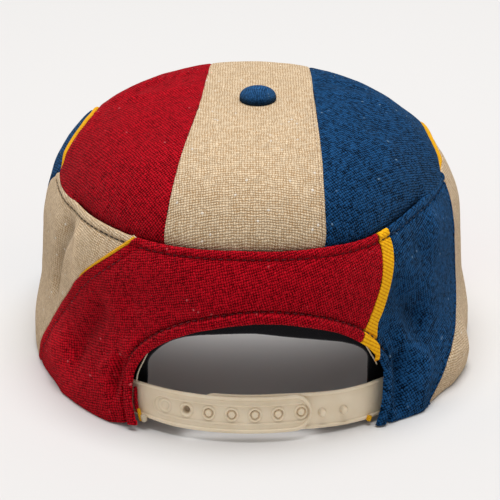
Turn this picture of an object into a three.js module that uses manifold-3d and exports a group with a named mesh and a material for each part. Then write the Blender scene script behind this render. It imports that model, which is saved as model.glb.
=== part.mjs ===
// Soft pillbox hat of coloured cloth panels, with an arched opening and a snap strap at the back.
// Millimetres, +Z up. The rim stands on z = 0 and the back of the hat faces -Y.
// A bearing is an angle in degrees round the hat: 0 at the back, 90 at +X, 180 at the front.
import * as THREE from 'three';
import { mergeVertices } from 'three/addons/utils/BufferGeometryUtils.js';
import Module from 'manifold-3d';

// Driving dimensions
const LENGTH_RATIO = 1.12; // front-to-back size over side-to-side size
const MIDDLE_Y = -2.4; // middle of the rim's ellipse, set so that the whole hat is centred on the origin
const CROWN_TOP = 111.1; // height of the crown
const CROWN_ROUND = { across: 3.1, up: 1.92 }; // fullness of the crown's shoulder, a superellipse
const CLOTH = 2; // thickness of one cloth wall
const HEM = { thickness: 3.5, width: 9, fade: 4 }; // folded edge round the opening
const SEAM_GAP = 0.3; // space between two panels at a seam
const CORD_GAP = 0.4; // space between the crown's piping and the panels beside it
const SEAM_STEPS = 90; // straight pieces in a seam's line
const CORNER_PASSES = 4; // times a panel's corner is moved off each of its two edges in turn
const CROWN_SINK = 0.8; // how far the crown lies below the band's raised top edge
const PEAK = { bearing: 81.5, height: 82.6 }; // where the crown seam meets the front panels, on both sides
const PIPING = { width: 2.2, sink: 0.4, steps: 48, sides: 6 }; // cord in the seam forward of the peaks
const BAND_PIPING = { width: 1.1, sink: 0.3, steps: 10, foot: 56, fade: 8, head: 2 }; // thin cord
const END_CLEAR = 0.012; // share of a run that a cord or the facing leaves free at each end
const ARCH = { centre: 2.5, halfSpan: 33.1, footSpan: 31.5, spring: 23, rise: 30.7, leg: 0.14 };
const ARCH_FULLNESS = 1.78; // above 2 the arch is boxier than an ellipse, below 2 more pointed
const FACING = { reach: 3.5, lap: 8, thickness: 1, depth: 3.8, strapDepth: 8.6, step: 12, foot: 1 };
const SWEATBAND = { from: 52, to: 313, foot: 1.4, head: 33, thickness: 1, depth: 2.5 };
const BUTTON = { x: 3.4, y: -1.5, radius: 8, height: 6.6, waist: 0.82, spring: 0.3, sides: 20, steps: 8 };
const STRAP = { halfWidth: 96.9, foot: 4, height: 16, thickness: 1.5, depth: 3.9, lean: 0.12, gap: 0.3 };
const STRAP_GRID = { columns: 24, rows: 2, crowding: 1.3, roundness: 0.97 }; // finer towards the rounded end
const STRAP_OUTER = { from: -39, to: 16.2 }; // bearings of the strip with holes
const STRAP_INNER = { from: -14, to: 44, lift: 1.2, risesFrom: 18, risesTo: 34 }; // of the strip with pegs
const SNAP = { pitch: 10.25, first: -22.8, sides: 14, steps: 20 }; // spacing, first hole's bearing
const SNAP_HOLES = { count: 7, blind: 1, radius: 2.2, overcut: 0.6 };
const SNAP_PEGS = { count: 7, first: 2, radius: 1.8, shortBy: 0.2 };

// Half width of the upright band, from the rim to where the shoulder begins
const BAND_PROFILE = [
  { place: 'rim', height: 0, halfWidth: 97 },
  { place: 'heel', height: 5, halfWidth: 97.1 },
  { place: 'belly', height: 14, halfWidth: 96.8 },
  { place: 'waist', height: 32, halfWidth: 93.4 },
  { place: 'wall', height: 56, halfWidth: 91.6 },
];

// Height of the seam between band and crown at each bearing
const CROWN_SEAM = [
  { bearing: -PEAK.bearing, height: PEAK.height },
  { bearing: -33.6, height: 81.4 },
  { bearing: 0, height: 82.2 },
  { bearing: 33.6, height: 80.9 },
  { bearing: 56, height: 83.5 },
  { bearing: PEAK.bearing, height: PEAK.height },
];

// Bearing of each upright seam of the band at each height
const RED_BEIGE_SEAM = [
  { height: 0, bearing: -75 },
  { height: 13.6, bearing: -70.5 },
  { height: 43.1, bearing: -57.9 },
  { height: 60.6, bearing: -48.7 },
  { height: 81.4, bearing: -33.6 },
];
const LEFT_FRONT_SEAM = [
  { height: 0, bearing: -110 },
  { height: 40, bearing: -102 },
  { height: 70, bearing: -91 },
  { height: PEAK.height, bearing: -PEAK.bearing },
];
const RIGHT_FRONT_SEAM = [
  { height: 0, bearing: 50 },
  { height: 8, bearing: 56.8 },
  { height: 15, bearing: 61.4 },
  { height: 25, bearing: 71 },
  { height: 36, bearing: 76 },
  { height: 60, bearing: 76.6 },
  { height: PEAK.height, bearing: PEAK.bearing },
];

// Seam over the crown from the left peak round the front to the right peak: its points between the peaks
const FRONT_SEAM = [
  { x: -77.7, y: 0 },
  { x: -72.9, y: 7.8 },
  { x: -70.2, y: 17 },
  { x: -69.3, y: 34 },
  { x: -68, y: 51 },
  { x: -61, y: 64 },
  { x: -46, y: 76 },
  { x: -24, y: 84.5 },
  { x: 0, y: 88 },
  { x: 24, y: 86.5 },
  { x: 47, y: 77.5 },
  { x: 63, y: 65 },
  { x: 72.5, y: 53 },
  { x: 76.3, y: 42 },
  { x: 77.8, y: 30 },
  { x: 79.6, y: 14 },
  { x: 81.8, y: -2 },
];

// Bearings of the wide tape's two edges at each height
const TAPE = [
  { height: 31, left: 27.7, right: 31 },
  { height: 39.9, left: 29.8, right: 33.4 },
  { height: 48.8, left: 32.8, right: 36.8 },
  { height: 61.4, left: 36.7, right: 40.5 },
  { height: 74, left: 38.5, right: 43 },
  { height: 83.3, left: 38.4, right: 42.7 },
];
const TAPE_END = { left: 29.3, right: 34.7 }; // bearings where its edges meet the arch
const TAPE_BEND = 45; // height at which its edges leave the arch's hem
const TAPE_PROUD = 0.3; // how far it stands out from the band

// Side edges of the beige strip over the crown: offset from the middle at each distance from the back
const CROWN_STRIP = [
  { y: -90, left: -35.2, right: 30.7 },
  { y: -64.6, left: -30, right: 29.7 },
  { y: -21.7, left: -23.4, right: 28.6 },
  { y: 10, left: -20, right: 27.8 },
  { y: 90, left: -16, right: 26.6 },
];

const STRIP_BACK = { left: -24.3, right: 21.2 }; // bearings where the strip's edges meet the crown seam
const STRIP_FRONT = { left: 86, right: 85 }; // how far forward they meet the front seam

// Shares of a panel's edge at which one seam gives way to the next
const TURN = {
  redBeigeToCrown: 0.38,
  crownToTape: 0.9,
  redTapeBend: 0.3,
  tapeLeftBend: 0.15,
  tapeRightBend: 0.25,
  archToTape: 0.4,
  blueTapeBend: 0.55,
  crownSideLeft: 0.2,
  crownSideRight: 0.8,
};
const RED_SIDE_TOP = 61; // height on the tape's edge where the red panel's grid turns to its upper edge

// Seams of the front: bearing at the rim, and share of the front seam from the left peak
const FRONT_SPLIT = {
  blueRed: { rim: -146, share: 0.24 },
  redBeige: { rim: 116, share: 0.87 },
};

// Main folds and swells of the cloth: a ridge from one point to another, its half breadth and its rise
const FOLDS = [
  { fold: 'full lower right corner', from: [48, 4], to: [70, 8], breadth: 20, rise: 3.3 },
  { fold: 'left band dent', from: [-61, 76], to: [-54, 58], breadth: 7, rise: -1.6 },
  { fold: 'left band ridge', from: [-49, 76], to: [-51, 60], breadth: 6, rise: 0.9 },
  { fold: 'far red crown ridge', from: [-100, 97], to: [-128, 104], breadth: 7, rise: 0.5 },
  { fold: 'near red crown ridge', from: [-84, 91], to: [-95, 97], breadth: 6, rise: 1 },
  { fold: 'blue crown ridge', from: [84, 90], to: [108, 104], breadth: 9, rise: 1 },
  { fold: 'right band dent', from: [38, 40], to: [42, 22], breadth: 8, rise: -1.4 },
  { fold: 'right band swell', from: [55, 62], to: [60, 30], breadth: 14, rise: 0.8 },
];

const COLOURS = {
  red: 0x7d0b14,
  blue: 0x142c46,
  beige: 0xb29373,
  yellow: 0xe6a519,
  plastic: 0xc0ad92,
  black: 0x16161a,
};
const CLOTH_ROUGHNESS = 0.9;
const PLASTIC_ROUGHNESS = 0.45;

const { lerp, clamp, smoothstep, degToRad, radToDeg } = THREE.MathUtils;
const wasm = await Module();
wasm.setup();

// A smooth curve through two columns of a table
function column(table, key, value) {
  const slope = table.map((row, i) => {
    const before = table[Math.max(i - 1, 0)];
    const after = table[Math.min(i + 1, table.length - 1)];
    return (after[value] - before[value]) / (after[key] - before[key]);
  });
  return (at) => {
    let i = 0;
    while (i < table.length - 2 && at > table[i + 1][key]) i += 1;
    const step = table[i + 1][key] - table[i][key];
    const t = clamp((at - table[i][key]) / step, 0, 1);
    const start = table[i][value];
    const change = table[i + 1][value] - start;
    const ease = t * t * (3 - 2 * t);
    const bow = step * t * (1 - t);
    return start + change * ease + bow * (slope[i] * (1 - t) - slope[i + 1] * t);
  };
}

// Profile of the hat from the apex down to the rim, as points (half width, height)
const PROFILE = { crownSteps: 160, bandStep: 0.5 };
function profilePoints() {
  const wall = BAND_PROFILE[BAND_PROFILE.length - 1];
  const points = [];
  for (let i = 0; i <= PROFILE.crownSteps; i += 1) {
    const turn = (Math.PI / 2) * (1 - i / PROFILE.crownSteps);
    const across = Math.max(Math.cos(turn), 0) ** (2 / CROWN_ROUND.across);
    const up = Math.sin(turn) ** (2 / CROWN_ROUND.up);
    points.push(new THREE.Vector2(wall.halfWidth * across, lerp(wall.height, CROWN_TOP, up)));
  }
  const halfWidth = column(BAND_PROFILE, 'height', 'halfWidth');
  for (let height = wall.height - PROFILE.bandStep; height >= 0; height -= PROFILE.bandStep) {
    points.push(new THREE.Vector2(halfWidth(height), height));
  }
  points[0].x = 0;
  return points;
}

const profile = profilePoints();
const distances = [0];
profile.slice(1).forEach((point, i) => distances.push(distances[i] + point.distanceTo(profile[i])));
const RIM = distances[distances.length - 1];
const RIM_TOLERANCE = 0.001;

// Distance from the apex, along the profile, at which a rising measure passes a value
function distanceWhere(measure, value) {
  let i = 1;
  while (i < profile.length - 1 && measure(profile[i]) < value) i += 1;
  const before = measure(profile[i - 1]);
  const share = (value - before) / (measure(profile[i]) - before);
  return lerp(distances[i - 1], distances[i], share);
}
function profileAt(distance) {
  let i = 1;
  while (i < profile.length - 1 && distances[i] < distance) i += 1;
  const share = (distance - distances[i - 1]) / (distances[i] - distances[i - 1]);
  const run = profile[i].clone().sub(profile[i - 1]);
  return { point: profile[i - 1].clone().addScaledVector(run, share), run };
}
const distanceAtHeight = (height) => (height <= 0 ? RIM : distanceWhere((point) => -point.y, -height));
const distanceAtHalfWidth = (halfWidth) => distanceWhere((point) => point.x, halfWidth);

// The cloth is laid out flat as a disc: the apex in the middle, the rim at its edge, the back at -Y
const polar = (distance, bearing) =>
  new THREE.Vector2(Math.sin(degToRad(bearing)), -Math.cos(degToRad(bearing))).multiplyScalar(distance);
const flat = (bearing, height) => polar(distanceAtHeight(height), bearing);
function flatFromPlan(x, y) {
  const away = y / LENGTH_RATIO;
  return polar(distanceAtHalfWidth(Math.hypot(x, away)), radToDeg(Math.atan2(x, -away)));
}
const bearingOf = (spot) => radToDeg(Math.atan2(spot.x, -spot.y));

const folds = FOLDS.map((row) => ({
  ...row,
  line: new THREE.Line3(
    new THREE.Vector3(...flat(...row.from), 0),
    new THREE.Vector3(...flat(...row.to), 0),
  ),
}));
function foldRise(spot) {
  const point = new THREE.Vector3(spot.x, spot.y, 0);
  const nearest = new THREE.Vector3();
  return folds.reduce((sum, { line, breadth, rise }) => {
    const away = line.closestPointToPoint(point, true, nearest).distanceTo(point) / breadth;
    return sum + rise * Math.exp(-away * away);
  }, 0);
}

// Point of the hat at a spot of the flat disc, a depth below the outer face
function skin(spot, depth) {
  const distance = Math.min(spot.length(), RIM);
  const turn = Math.atan2(spot.x, -spot.y);
  const { point: at, run } = profileAt(distance);
  const normal = new THREE.Vector3(
    -LENGTH_RATIO * Math.sin(turn) * run.y,
    Math.cos(turn) * run.y,
    LENGTH_RATIO * run.x,
  ).normalize();
  const point = new THREE.Vector3(at.x * Math.sin(turn), -LENGTH_RATIO * at.x * Math.cos(turn), at.y);
  point.addScaledVector(normal, foldRise(spot) - depth);
  point.y += MIDDLE_Y;
  if (distance > RIM - RIM_TOLERANCE) point.z = 0;
  return point;
}

// Seams on the flat disc
const crownSeamHeight = column(CROWN_SEAM, 'bearing', 'height');
const crownSeam = (bearing) => flat(bearing, crownSeamHeight(bearing));
const rim = (bearing) => polar(RIM, bearing);
const seamUp = (table, value = 'bearing') => {
  const bearing = column(table, 'height', value);
  return (height) => flat(bearing(height), height);
};
const redBeige = seamUp(RED_BEIGE_SEAM);
const leftFront = seamUp(LEFT_FRONT_SEAM);
const rightFront = seamUp(RIGHT_FRONT_SEAM);
const tapeLeft = seamUp(TAPE, 'left');
const tapeRight = seamUp(TAPE, 'right');
const stripLeftX = column(CROWN_STRIP, 'y', 'left');
const stripRightX = column(CROWN_STRIP, 'y', 'right');

// Front seam by its share of the way from the left peak (0) to the right peak (1)
const HALVINGS = 30;
const peakHalfWidth = profileAt(distanceAtHeight(PEAK.height)).point.x;
const peakX = peakHalfWidth * Math.sin(degToRad(PEAK.bearing));
const peakY = -LENGTH_RATIO * peakHalfWidth * Math.cos(degToRad(PEAK.bearing));
const frontPoints = [{ x: -peakX, y: peakY }, ...FRONT_SEAM, { x: peakX, y: peakY }];
const frontLengths = [0];
frontPoints.slice(1).forEach(({ x, y }, i) => {
  frontLengths.push(frontLengths[i] + Math.hypot(x - frontPoints[i].x, y - frontPoints[i].y));
});
const frontLength = frontLengths[frontLengths.length - 1];
const frontTable = frontPoints.map(({ x, y }, i) => ({ share: frontLengths[i] / frontLength, x, y }));
const frontX = column(frontTable, 'share', 'x');
const frontY = column(frontTable, 'share', 'y');
const frontSeam = (share) => flatFromPlan(frontX(share), frontY(share));
function frontShareAt(x) {
  let [low, high] = [0, 1];
  for (let i = 0; i < HALVINGS; i += 1) {
    const middle = (low + high) / 2;
    if (frontX(middle) < x) low = middle;
    else high = middle;
  }
  return (low + high) / 2;
}

// Leg of the opening's edge, drawn in towards its foot: side is -1 on the left, 1 on the right
function archLeg(side, up) {
  const span = ARCH.halfSpan - (ARCH.halfSpan - ARCH.footSpan) * (1 - up) ** 2;
  return flat(ARCH.centre + side * span, ARCH.spring * up);
}

// Edge of the opening from the rim on the left (share 0) over the arch to the rim on the right (share 1)
function arch(share) {
  const { leg } = ARCH;
  if (share <= leg) return archLeg(-1, share / leg);
  if (share >= 1 - leg) return archLeg(1, (1 - share) / leg);
  const turn = (Math.PI * (share - leg)) / (1 - 2 * leg);
  const power = 2 / ARCH_FULLNESS;
  const across = Math.sign(Math.cos(turn)) * Math.abs(Math.cos(turn)) ** power;
  return flat(ARCH.centre - ARCH.halfSpan * across, ARCH.spring + ARCH.rise * Math.sin(turn) ** power);
}
function archShareAt(bearing) {
  const across = (bearing - ARCH.centre) / ARCH.halfSpan;
  const turn = Math.PI - Math.acos(across ** (ARCH_FULLNESS / 2));
  return ARCH.leg + ((1 - 2 * ARCH.leg) * turn) / Math.PI;
}
const archSpots = Array.from({ length: SEAM_STEPS + 1 }, (_, i) => arch(i / SEAM_STEPS));
function hemDepth(spot) {
  const { away } = footOn(archSpots, spot);
  return lerp(HEM.thickness, CLOTH, smoothstep(away, HEM.width, HEM.width + HEM.fade));
}

// A run along an edge: the value passes from one number to another as the share goes from 0 to 1
const run = (edge, from, to) => (share) => edge(lerp(from, to, share));

// Several runs end to end, each ending at its own share of the whole
function chain(...pieces) {
  return (share) => {
    let start = 0;
    for (const { edge, until } of pieces) {
      if (share <= until) return edge((share - start) / (until - start));
      start = until;
    }
    return pieces[pieces.length - 1].edge(1);
  };
}

// Foot of the perpendicular from a spot on a line of spots, and the line's left-hand normal there
function footOn(line, spot) {
  let nearest = { away: Infinity };
  for (let i = 1; i < line.length; i += 1) {
    const along = line[i].clone().sub(line[i - 1]);
    const share = clamp(spot.clone().sub(line[i - 1]).dot(along) / along.lengthSq(), 0, 1);
    const foot = line[i - 1].clone().addScaledVector(along, share);
    const away = foot.distanceTo(spot);
    const normal = new THREE.Vector2(-along.y, along.x).normalize();
    if (away < nearest.away) nearest = { away, foot, normal };
  }
  return nearest;
}

// The patch of the flat disc between four edges, held clear of each edge by its own margin
function patch({ bottom, top, left, right, margins = {} }) {
  const corner = [bottom(0), bottom(1), top(0), top(1)];
  const spotAt = (u, v) => {
    const spot = new THREE.Vector2();
    spot.addScaledVector(bottom(u), 1 - v).addScaledVector(top(u), v);
    spot.addScaledVector(left(v), 1 - u).addScaledVector(right(v), u);
    spot.addScaledVector(corner[0], -(1 - u) * (1 - v)).addScaledVector(corner[1], -u * (1 - v));
    return spot.addScaledVector(corner[2], -(1 - u) * v).addScaledVector(corner[3], -u * v);
  };
  const centre = spotAt(0.5, 0.5);
  const borders = Object.entries({ bottom, top, left, right }).map(([name, edge]) => {
    const line = Array.from({ length: SEAM_STEPS + 1 }, (_, i) => edge(i / SEAM_STEPS));
    const { foot, normal } = footOn(line, centre);
    const inward = Math.sign(centre.clone().sub(foot).dot(normal));
    const margin = margins[name] ?? SEAM_GAP / 2;
    return { line, inward, marginAt: typeof margin === 'function' ? margin : () => margin };
  });
  return (u, v) => {
    const spot = spotAt(u, v);
    for (let pass = 0; pass < CORNER_PASSES; pass += 1) {
      borders.forEach(({ line, inward, marginAt }) => {
        const { away, foot, normal } = footOn(line, spot);
        const margin = marginAt(foot);
        const clear = spot.clone().sub(foot).dot(normal) * inward;
        if (away < PIPING.width && clear < margin) spot.copy(foot).addScaledVector(normal, inward * margin);
      });
    }
    return spot.length() > RIM - SEAM_GAP ? spot.setLength(RIM) : spot;
  };
}

// Faces turned so that the solid's volume is positive
function outward(geometry) {
  const position = geometry.getAttribute('position');
  const index = geometry.getIndex().array;
  const [a, b, c] = [new THREE.Vector3(), new THREE.Vector3(), new THREE.Vector3()];
  let volume = 0;
  for (let i = 0; i < index.length; i += 3) {
    a.fromBufferAttribute(position, index[i]);
    b.fromBufferAttribute(position, index[i + 1]);
    c.fromBufferAttribute(position, index[i + 2]);
    volume += a.dot(b.cross(c));
  }
  if (volume < 0) index.reverse();
  return geometry;
}

// Closed wall over a grid: pointAt(u, v, 0) is its outer face and pointAt(u, v, 1) its inner one
function wall(pointAt, columns, rows) {
  const positions = [];
  for (let side = 0; side < 2; side += 1) {
    for (let j = 0; j <= rows; j += 1) {
      for (let i = 0; i <= columns; i += 1) positions.push(...pointAt(i / columns, j / rows, side));
    }
  }
  const layer = (columns + 1) * (rows + 1);
  const at = (i, j, side) => side * layer + j * (columns + 1) + i;
  const index = [];
  const quad = (a, b, c, d) => index.push(a, b, c, a, c, d);
  for (let j = 0; j < rows; j += 1) {
    for (let i = 0; i < columns; i += 1) {
      quad(at(i, j, 0), at(i + 1, j, 0), at(i + 1, j + 1, 0), at(i, j + 1, 0));
      quad(at(i, j, 1), at(i, j + 1, 1), at(i + 1, j + 1, 1), at(i + 1, j, 1));
    }
  }
  for (let i = 0; i < columns; i += 1) {
    quad(at(i, 0, 0), at(i, 0, 1), at(i + 1, 0, 1), at(i + 1, 0, 0));
    quad(at(i, rows, 0), at(i + 1, rows, 0), at(i + 1, rows, 1), at(i, rows, 1));
  }
  for (let j = 0; j < rows; j += 1) {
    quad(at(0, j, 0), at(0, j + 1, 0), at(0, j + 1, 1), at(0, j, 1));
    quad(at(columns, j, 0), at(columns, j, 1), at(columns, j + 1, 1), at(columns, j + 1, 0));
  }
  const geometry = new THREE.BufferGeometry();
  geometry.setAttribute('position', new THREE.Float32BufferAttribute(positions, 3));
  geometry.setIndex(index);
  return outward(geometry);
}

// Cloth panel over a patch, from an outer depth to an inner depth, each a number or a function of the spot
function cloth(spotAt, [columns, rows], { outer, inner }) {
  const depthAt = (depth, spot) => (typeof depth === 'function' ? depth(spot) : depth);
  return wall((u, v, side) => {
    const spot = spotAt(u, v);
    return skin(spot, depthAt(side ? inner : outer, spot));
  }, columns, rows);
}

const pipingMargin = PIPING.width / 2 + CORD_GAP;

// Crown panels
const stripFront = {
  left: frontShareAt(stripLeftX(STRIP_FRONT.left)),
  right: frontShareAt(stripRightX(STRIP_FRONT.right)),
};
function stripEdge(xAt, bearing, share) {
  const back = -LENGTH_RATIO * profileAt(crownSeam(bearing).length()).point.x * Math.cos(degToRad(bearing));
  const front = frontY(share);
  return (v) => {
    if (v <= 0) return crownSeam(bearing);
    if (v >= 1) return frontSeam(share);
    const y = lerp(back, front, (1 - Math.cos(Math.PI * v)) / 2);
    return flatFromPlan(xAt(y), y);
  };
}
const stripLeft = stripEdge(stripLeftX, STRIP_BACK.left, stripFront.left);
const stripRight = stripEdge(stripRightX, STRIP_BACK.right, stripFront.right);

const crownBeige = patch({
  bottom: run(crownSeam, STRIP_BACK.left, STRIP_BACK.right),
  top: run(frontSeam, stripFront.left, stripFront.right),
  left: stripLeft,
  right: stripRight,
  margins: { top: pipingMargin },
});
const crownRed = patch({
  bottom: run(crownSeam, STRIP_BACK.left, -PEAK.bearing),
  top: run(frontSeam, stripFront.left, TURN.crownSideLeft),
  left: stripLeft,
  right: run(frontSeam, 0, TURN.crownSideLeft),
  margins: { top: pipingMargin, right: pipingMargin },
});
const crownBlue = patch({
  bottom: run(crownSeam, STRIP_BACK.right, PEAK.bearing),
  top: run(frontSeam, stripFront.right, TURN.crownSideRight),
  left: stripRight,
  right: run(frontSeam, 1, TURN.crownSideRight),
  margins: { top: pipingMargin, right: pipingMargin },
});

// Band panels
const BEARING_TOLERANCE = 0.2;
const heightOf = (spot) => profileAt(Math.min(spot.length(), RIM)).point.y;
const tapeHead = TAPE[TAPE.length - 1];
const seamTop = {
  redBeige: RED_BEIGE_SEAM[RED_BEIGE_SEAM.length - 1].bearing,
  tapeLeft: tapeHead.left,
  tapeRight: tapeHead.right,
};
const bandPipingMargin = (spot) => {
  const beside = bearingOf(spot) < seamTop.redBeige - BEARING_TOLERANCE;
  const widening = smoothstep(heightOf(spot), BAND_PIPING.foot - BAND_PIPING.fade, BAND_PIPING.foot);
  return SEAM_GAP / 2 + (beside ? widening : 0) * (BAND_PIPING.width / 2 + SEAM_GAP / 2);
};
const tapeShare = { left: archShareAt(TAPE_END.left), right: archShareAt(TAPE_END.right) };
const rimAt = {
  leftFront: LEFT_FRONT_SEAM[0].bearing,
  redBeige: RED_BEIGE_SEAM[0].bearing,
  rightFront: RIGHT_FRONT_SEAM[0].bearing,
};

const bandBeige = patch({
  bottom: run(rim, rimAt.leftFront, rimAt.redBeige),
  top: run(crownSeam, -PEAK.bearing, seamTop.redBeige),
  left: run(leftFront, 0, PEAK.height),
  right: run(redBeige, 0, crownSeamHeight(seamTop.redBeige)),
  margins: { bottom: 0, right: bandPipingMargin },
});
const bandRed = patch({
  bottom: run(arch, 0, tapeShare.left),
  top: chain(
    { edge: run(redBeige, 0, crownSeamHeight(seamTop.redBeige)), until: TURN.redBeigeToCrown },
    { edge: run(crownSeam, seamTop.redBeige, seamTop.tapeLeft), until: TURN.crownToTape },
    { edge: run(tapeLeft, crownSeamHeight(seamTop.tapeLeft), RED_SIDE_TOP), until: 1 },
  ),
  left: run(rim, ARCH.centre - ARCH.footSpan, rimAt.redBeige),
  right: chain(
    { edge: (v) => arch(tapeShare.left).lerp(tapeLeft(TAPE_BEND), v), until: TURN.redTapeBend },
    { edge: run(tapeLeft, TAPE_BEND, RED_SIDE_TOP), until: 1 },
  ),
  margins: { bottom: 0, left: 0, top: bandPipingMargin },
});
const bandTape = patch({
  bottom: run(arch, tapeShare.left, tapeShare.right),
  top: run(crownSeam, seamTop.tapeLeft, seamTop.tapeRight),
  left: chain(
    { edge: (v) => arch(tapeShare.left).lerp(tapeLeft(TAPE_BEND), v), until: TURN.tapeLeftBend },
    { edge: run(tapeLeft, TAPE_BEND, crownSeamHeight(seamTop.tapeLeft)), until: 1 },
  ),
  right: chain(
    { edge: (v) => arch(tapeShare.right).lerp(tapeRight(TAPE_BEND), v), until: TURN.tapeRightBend },
    { edge: run(tapeRight, TAPE_BEND, crownSeamHeight(seamTop.tapeRight)), until: 1 },
  ),
  margins: { bottom: 0 },
});
const bandBlue = patch({
  bottom: run(rim, ARCH.centre + ARCH.footSpan, rimAt.rightFront),
  top: run(crownSeam, seamTop.tapeRight, PEAK.bearing),
  left: chain(
    { edge: run(arch, 1, tapeShare.right), until: TURN.archToTape },
    { edge: (v) => arch(tapeShare.right).lerp(tapeRight(TAPE_BEND), v), until: TURN.blueTapeBend },
    { edge: run(tapeRight, TAPE_BEND, crownSeamHeight(seamTop.tapeRight)), until: 1 },
  ),
  right: run(rightFront, 0, PEAK.height),
  margins: { bottom: 0 },
});

// Front panels, from the rim to the seam over the crown
const straight = (from, to) => (v) => from.clone().lerp(to, v);
const splitLeft = straight(rim(FRONT_SPLIT.blueRed.rim), frontSeam(FRONT_SPLIT.blueRed.share));
const splitRight = straight(rim(FRONT_SPLIT.redBeige.rim), frontSeam(FRONT_SPLIT.redBeige.share));
const frontBlue = patch({
  bottom: run(rim, rimAt.leftFront, FRONT_SPLIT.blueRed.rim),
  top: run(frontSeam, 0, FRONT_SPLIT.blueRed.share),
  left: run(leftFront, 0, PEAK.height),
  right: splitLeft,
  margins: { bottom: 0, top: pipingMargin },
});
const frontRed = patch({
  bottom: run(rim, FRONT_SPLIT.blueRed.rim + 360, FRONT_SPLIT.redBeige.rim),
  top: run(frontSeam, FRONT_SPLIT.blueRed.share, FRONT_SPLIT.redBeige.share),
  left: splitLeft,
  right: splitRight,
  margins: { bottom: 0, top: pipingMargin },
});
const frontBeige = patch({
  bottom: run(rim, FRONT_SPLIT.redBeige.rim, rimAt.rightFront),
  top: run(frontSeam, FRONT_SPLIT.redBeige.share, 1),
  left: splitRight,
  right: run(rightFront, 0, PEAK.height),
  margins: { bottom: 0, top: pipingMargin },
});

// Round cord along a line of the flat disc, its lower half sunk in the seam
function cord(spotAt, { width, sink, steps }) {
  const { sides } = PIPING;
  const points = Array.from({ length: steps + 1 }, (_, i) => skin(spotAt(i / steps), sink));
  const section = new THREE.Shape();
  for (let i = 0; i < sides; i += 1) {
    const turn = (2 * Math.PI * i) / sides;
    const x = (width / 2) * Math.cos(turn);
    const y = (width / 2) * Math.sin(turn);
    if (i === 0) section.moveTo(x, y);
    else section.lineTo(x, y);
  }
  section.closePath();
  const path = new THREE.CatmullRomCurve3(points);
  const geometry = new THREE.ExtrudeGeometry(section, { steps, extrudePath: path, curveSegments: 1 });
  return weld(geometry);
}

// Shared vertices merged, so that only positions are left
const MERGE_DISTANCE = 1e-4;
function weld(geometry) {
  const bare = geometry.clone();
  bare.deleteAttribute('normal');
  bare.deleteAttribute('uv');
  return outward(mergeVertices(bare, MERGE_DISTANCE));
}

// Facing behind the arch's edge: it steps inward where the strap passes between it and the cloth
const acrossArch = (share, offset) => {
  const step = END_CLEAR / 3;
  const along = arch(Math.min(share + step, 1)).sub(arch(Math.max(share - step, 0))).normalize();
  return arch(share).add(new THREE.Vector2(-along.y, along.x).multiplyScalar(offset));
};
const strapTop = STRAP.foot + STRAP.height + STRAP_INNER.lift;
const facingDepth = (spot) =>
  lerp(FACING.strapDepth, FACING.depth, smoothstep(heightOf(spot), strapTop + 1, strapTop + FACING.step));
function facingSpot(u, v) {
  const share = lerp(END_CLEAR, 1 - END_CLEAR, u);
  const spot = acrossArch(share, lerp(FACING.reach, -FACING.lap, v));
  return spot.clampLength(0, RIM - FACING.foot);
}

// Strap strips: a bearing and a height, a depth below the band's outer face
function strapPoint(bearing, height, depth) {
  const turn = degToRad(bearing);
  const normal = new THREE.Vector3(LENGTH_RATIO * Math.sin(turn), -Math.cos(turn), 0).normalize();
  const point = new THREE.Vector3(Math.sin(turn), -LENGTH_RATIO * Math.cos(turn), 0);
  point.multiplyScalar(STRAP.halfWidth);
  point.y += MIDDLE_Y;
  point.z = height;
  return point.addScaledVector(normal, -depth - STRAP.lean * (height - STRAP.foot));
}
const strapArc = (bearing) => {
  const turn = degToRad(bearing);
  return STRAP.halfWidth * Math.hypot(Math.cos(turn), LENGTH_RATIO * Math.sin(turn));
};

// Strip with one rounded end: the whole height up to its end, then half a circle
function strip(rootBearing, endBearing, foot, depthAt) {
  const { columns, rows, crowding, roundness } = STRAP_GRID;
  const round = STRAP.height / 2;
  const endArc = strapArc(endBearing);
  return wall((u, v, side) => {
    const bearing = lerp(rootBearing, endBearing, 1 - (1 - u) ** crowding);
    const left = degToRad(Math.abs(endBearing - bearing)) * endArc;
    const over = clamp(1 - left / round, 0, roundness);
    const half = round * Math.sqrt(1 - over * over);
    const height = foot + round + half * (2 * v - 1);
    return strapPoint(bearing, height, depthAt(bearing) + side * STRAP.thickness);
  }, columns, rows);
}
const outerDepth = () => STRAP.depth;
const innerDepth = (bearing) => STRAP.depth
  + (STRAP.thickness + STRAP.gap) * (1 - smoothstep(bearing, STRAP_INNER.risesFrom, STRAP_INNER.risesTo));

// Bearings of the snap holes and pegs, a pitch apart along the strap
function snapBearing(i) {
  let bearing = SNAP.first;
  const part = SNAP.pitch / SNAP.steps;
  for (let step = 0; step < i * SNAP.steps; step += 1) bearing += radToDeg(part / strapArc(bearing));
  return bearing;
}
const snapHeight = STRAP.foot + STRAP.height / 2;

// Round pin across the strap from one depth to another
function pin(bearing, radius, from, to) {
  const start = strapPoint(bearing, snapHeight, from);
  const end = strapPoint(bearing, snapHeight, to);
  const geometry = new THREE.CylinderGeometry(radius, radius, start.distanceTo(end), SNAP.sides);
  const turn = new THREE.Quaternion().setFromUnitVectors(
    new THREE.Vector3(0, 1, 0),
    end.clone().sub(start).normalize(),
  );
  geometry.applyQuaternion(turn);
  const middle = start.clone().lerp(end, 0.5);
  return weld(geometry.translate(middle.x, middle.y, middle.z));
}

function solid(geometry) {
  const vertProperties = new Float32Array(geometry.getAttribute('position').array);
  const triVerts = new Uint32Array(geometry.getIndex().array);
  return new wasm.Manifold(new wasm.Mesh({ numProp: 3, vertProperties, triVerts }));
}
function fromSolid(manifold) {
  const mesh = manifold.getMesh();
  const geometry = new THREE.BufferGeometry();
  geometry.setAttribute('position', new THREE.Float32BufferAttribute(mesh.vertProperties, 3));
  geometry.setIndex(Array.from(mesh.triVerts));
  return geometry;
}

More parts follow.
